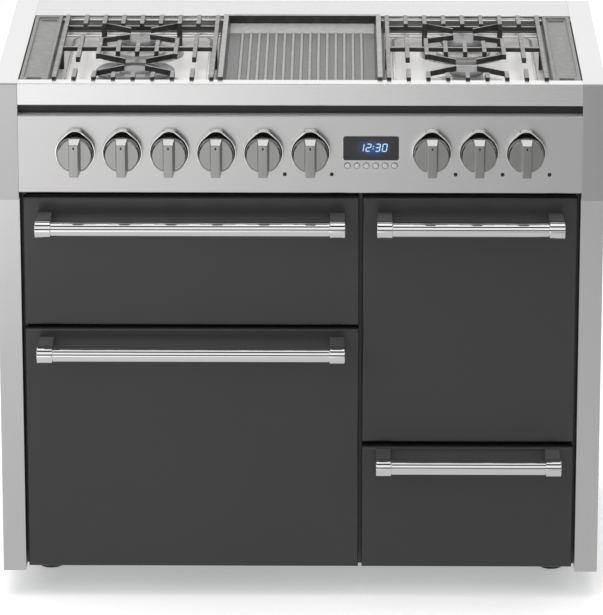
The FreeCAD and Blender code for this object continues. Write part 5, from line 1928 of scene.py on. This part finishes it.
@dataclass
class Studio:
    """Pale floor, soft lamps, plain surroundings and the camera of the photograph."""

    frame_size: tuple[int, int] = (603, 615)
    camera_place: Place = (0.063, -7.665, 2.759)
    camera_pitch: float = 16.85
    camera_turn: float = -0.47
    focal_pixels: float = 4672.0
    sensor: float = 36.0
    sight: float = 60.0
    floor_side: float = 80.0
    floor_tone: float = 0.78
    floor_white: float = 0.92
    floor_lift: float = 0.22
    side_scale: float = 0.5
    fade_start: float = 2.0
    fade_rate: float = -1.6
    light_level: float = 0.42
    side_fall: float = 0.12
    turn_rate: float = 4.0

    # Places from left to right, each with how bright metal mirrors the floor there
    FLOOR_FAR = ((0.0, 1.36), (0.17, 1.24), (0.5, 0.76), (0.82, 0.38), (1.0, 0.35))
    FLOOR_NEAR = ((0.0, 0.68), (1.0, 0.52))
    # Heights above the horizon, each with how bright metal mirrors the surroundings there
    AHEAD = ((0.0, 0.62), (0.13, 0.62), (0.16, 0.02), (0.35, 0.02), (0.40, 0.95), (0.77, 0.95), (0.80, 0.03),
             (0.945, 0.03), (0.965, 1.0), (1.0, 1.15))
    BEHIND = ((0.0, 1.05), (0.6, 1.10), (0.9, 1.15), (1.0, 1.2))
    # Each lamp's name, place, aim, side length and watts
    LAMPS = (
        ("overhead_softbox", (-0.4, -0.6, 3.6), (0.0, 0.0, 0.6), 3.4, 95.0),
        ("left_softbox", (-3.4, -3.6, 2.6), (0.0, 0.0, 0.5), 2.6, 95.0),
        ("right_softbox", (3.6, -3.2, 2.2), (0.0, 0.0, 0.5), 2.6, 45.0),
        ("rear_softbox", (0.6, 3.8, 2.4), (0.0, 0.0, 0.5), 2.6, 50.0),
    )

    def build(self) -> None:
        """Set up everything that isn't the cooker."""
        self.camera()
        self.floor()
        self.world()
        for name, place, aim, size, power in self.LAMPS:
            self.lamp(name, place, aim, size, power)

    def camera(self) -> None:
        """The camera of the photograph."""
        data = bpy.data.cameras.new("photo_camera")
        data.sensor_width = self.sensor
        data.lens = self.focal_pixels * self.sensor / max(self.frame_size)
        data.clip_end = self.sight
        camera = bpy.data.objects.new("photo_camera", data)
        bpy.context.collection.objects.link(camera)
        pitch, turn = math.radians(self.camera_pitch), math.radians(self.camera_turn)
        ahead = Vector((math.sin(turn) * math.cos(pitch), math.cos(turn) * math.cos(pitch), -math.sin(pitch)))
        camera.location = self.camera_place
        camera.rotation_euler = ahead.to_track_quat("-Z", "Y").to_euler()
        bpy.context.scene.camera = camera

    def floor(self) -> None:
        """A wide pale floor that keeps the cooker's shadow and is white to the camera."""
        deselect()
        bpy.ops.mesh.primitive_plane_add(size=self.floor_side, location=(0.0, 0.0, 0.0))
        floor = bpy.context.object
        floor.name = "studio_floor"
        bench = Bench(bpy.data.materials.new("studio_floor"))
        side = (bench.part(bench.place(), "X") * self.side_scale + 0.5).kept()
        far, near = side.ramp(self.FLOOR_FAR), side.ramp(self.FLOOR_NEAR)
        distance = ((bench.part(bench.place(), "Y") + self.fade_start) * self.fade_rate).kept()
        paint = bench.node("ShaderNodeBsdfDiffuse", {}, {"Color": grey(self.floor_tone)})
        white = bench.node("ShaderNodeBsdfDiffuse", {}, {"Color": grey(self.floor_white)})
        lift = bench.shining("ShaderNodeEmission", grey(1.0), self.floor_lift)
        shown = bench.node("ShaderNodeAddShader", {}, {0: white, 1: lift})
        mirrored = bench.shining("ShaderNodeEmission", near + (far - near) * distance, 1.0)
        plain = bench.mixed(bench.ray("Glossy"), paint, mirrored)
        bench.close(bench.mixed(bench.ray("Camera"), plain, shown))
        floor.data.materials.append(bench.owner)

    def world(self) -> None:
        """White to the camera, an even level for light, and softboxes with dark gaps for reflections."""
        bench = Bench(bpy.data.worlds.new("studio"))
        bpy.context.scene.world = bench.owner
        facing = bench.node("ShaderNodeTexCoord", {}, {}, "Generated")
        x, y, z = (bench.part(facing, axis) for axis in "XYZ")
        height = z.kept()
        back = (y * self.turn_rate + 0.5).kept()
        level = height.ramp(self.AHEAD) * (1.0 - back) + height.ramp(self.BEHIND) * back
        white, soft, shine = (
            bench.shining("ShaderNodeBackground", grey(1.0), strength)
            for strength in (1.0, self.light_level, level * (1.0 - self.side_fall * x)))
        plain = bench.mixed(bench.ray("Glossy"), soft, shine)
        bench.close(bench.mixed(bench.ray("Camera"), plain, white))

    @staticmethod
    def lamp(name: str, place: Place, aim: Place, size: float, power: float) -> None:
        """A square softbox that only lights, and isn't mirrored or seen.

        Args:
            name: The lamp's name.
            place: Where it hangs.
            aim: The point that it faces.
            size: The length of its sides.
            power: Its power in watts.
        """
        data = bpy.data.lights.new(name, "AREA")
        data.shape = "SQUARE"
        data.size = size
        data.energy = power
        lamp = bpy.data.objects.new(name, data)
        lamp.location = place
        lamp.rotation_euler = (Vector(aim) - Vector(place)).to_track_quat("-Z", "Y").to_euler()
        lamp.visible_glossy = False
        lamp.visible_camera = False
        bpy.context.collection.objects.link(lamp)


def main() -> None:
    """Load the frame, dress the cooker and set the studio."""
    logging.basicConfig(level=logging.INFO, format="%(message)s")
    cooker = Cooker(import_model())
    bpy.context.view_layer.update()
    bpy.context.scene.view_settings.view_transform = "Standard"
    for part in (Casing(), Hob(), Burners(), Grates(), Panel(), Knobs(), Timer(), Fronts(), Ovens()):
        LOG.info("%s", type(part).__name__)
        part.dress(cooker)
    Studio().build()


if __name__ == "__main__":
    main()
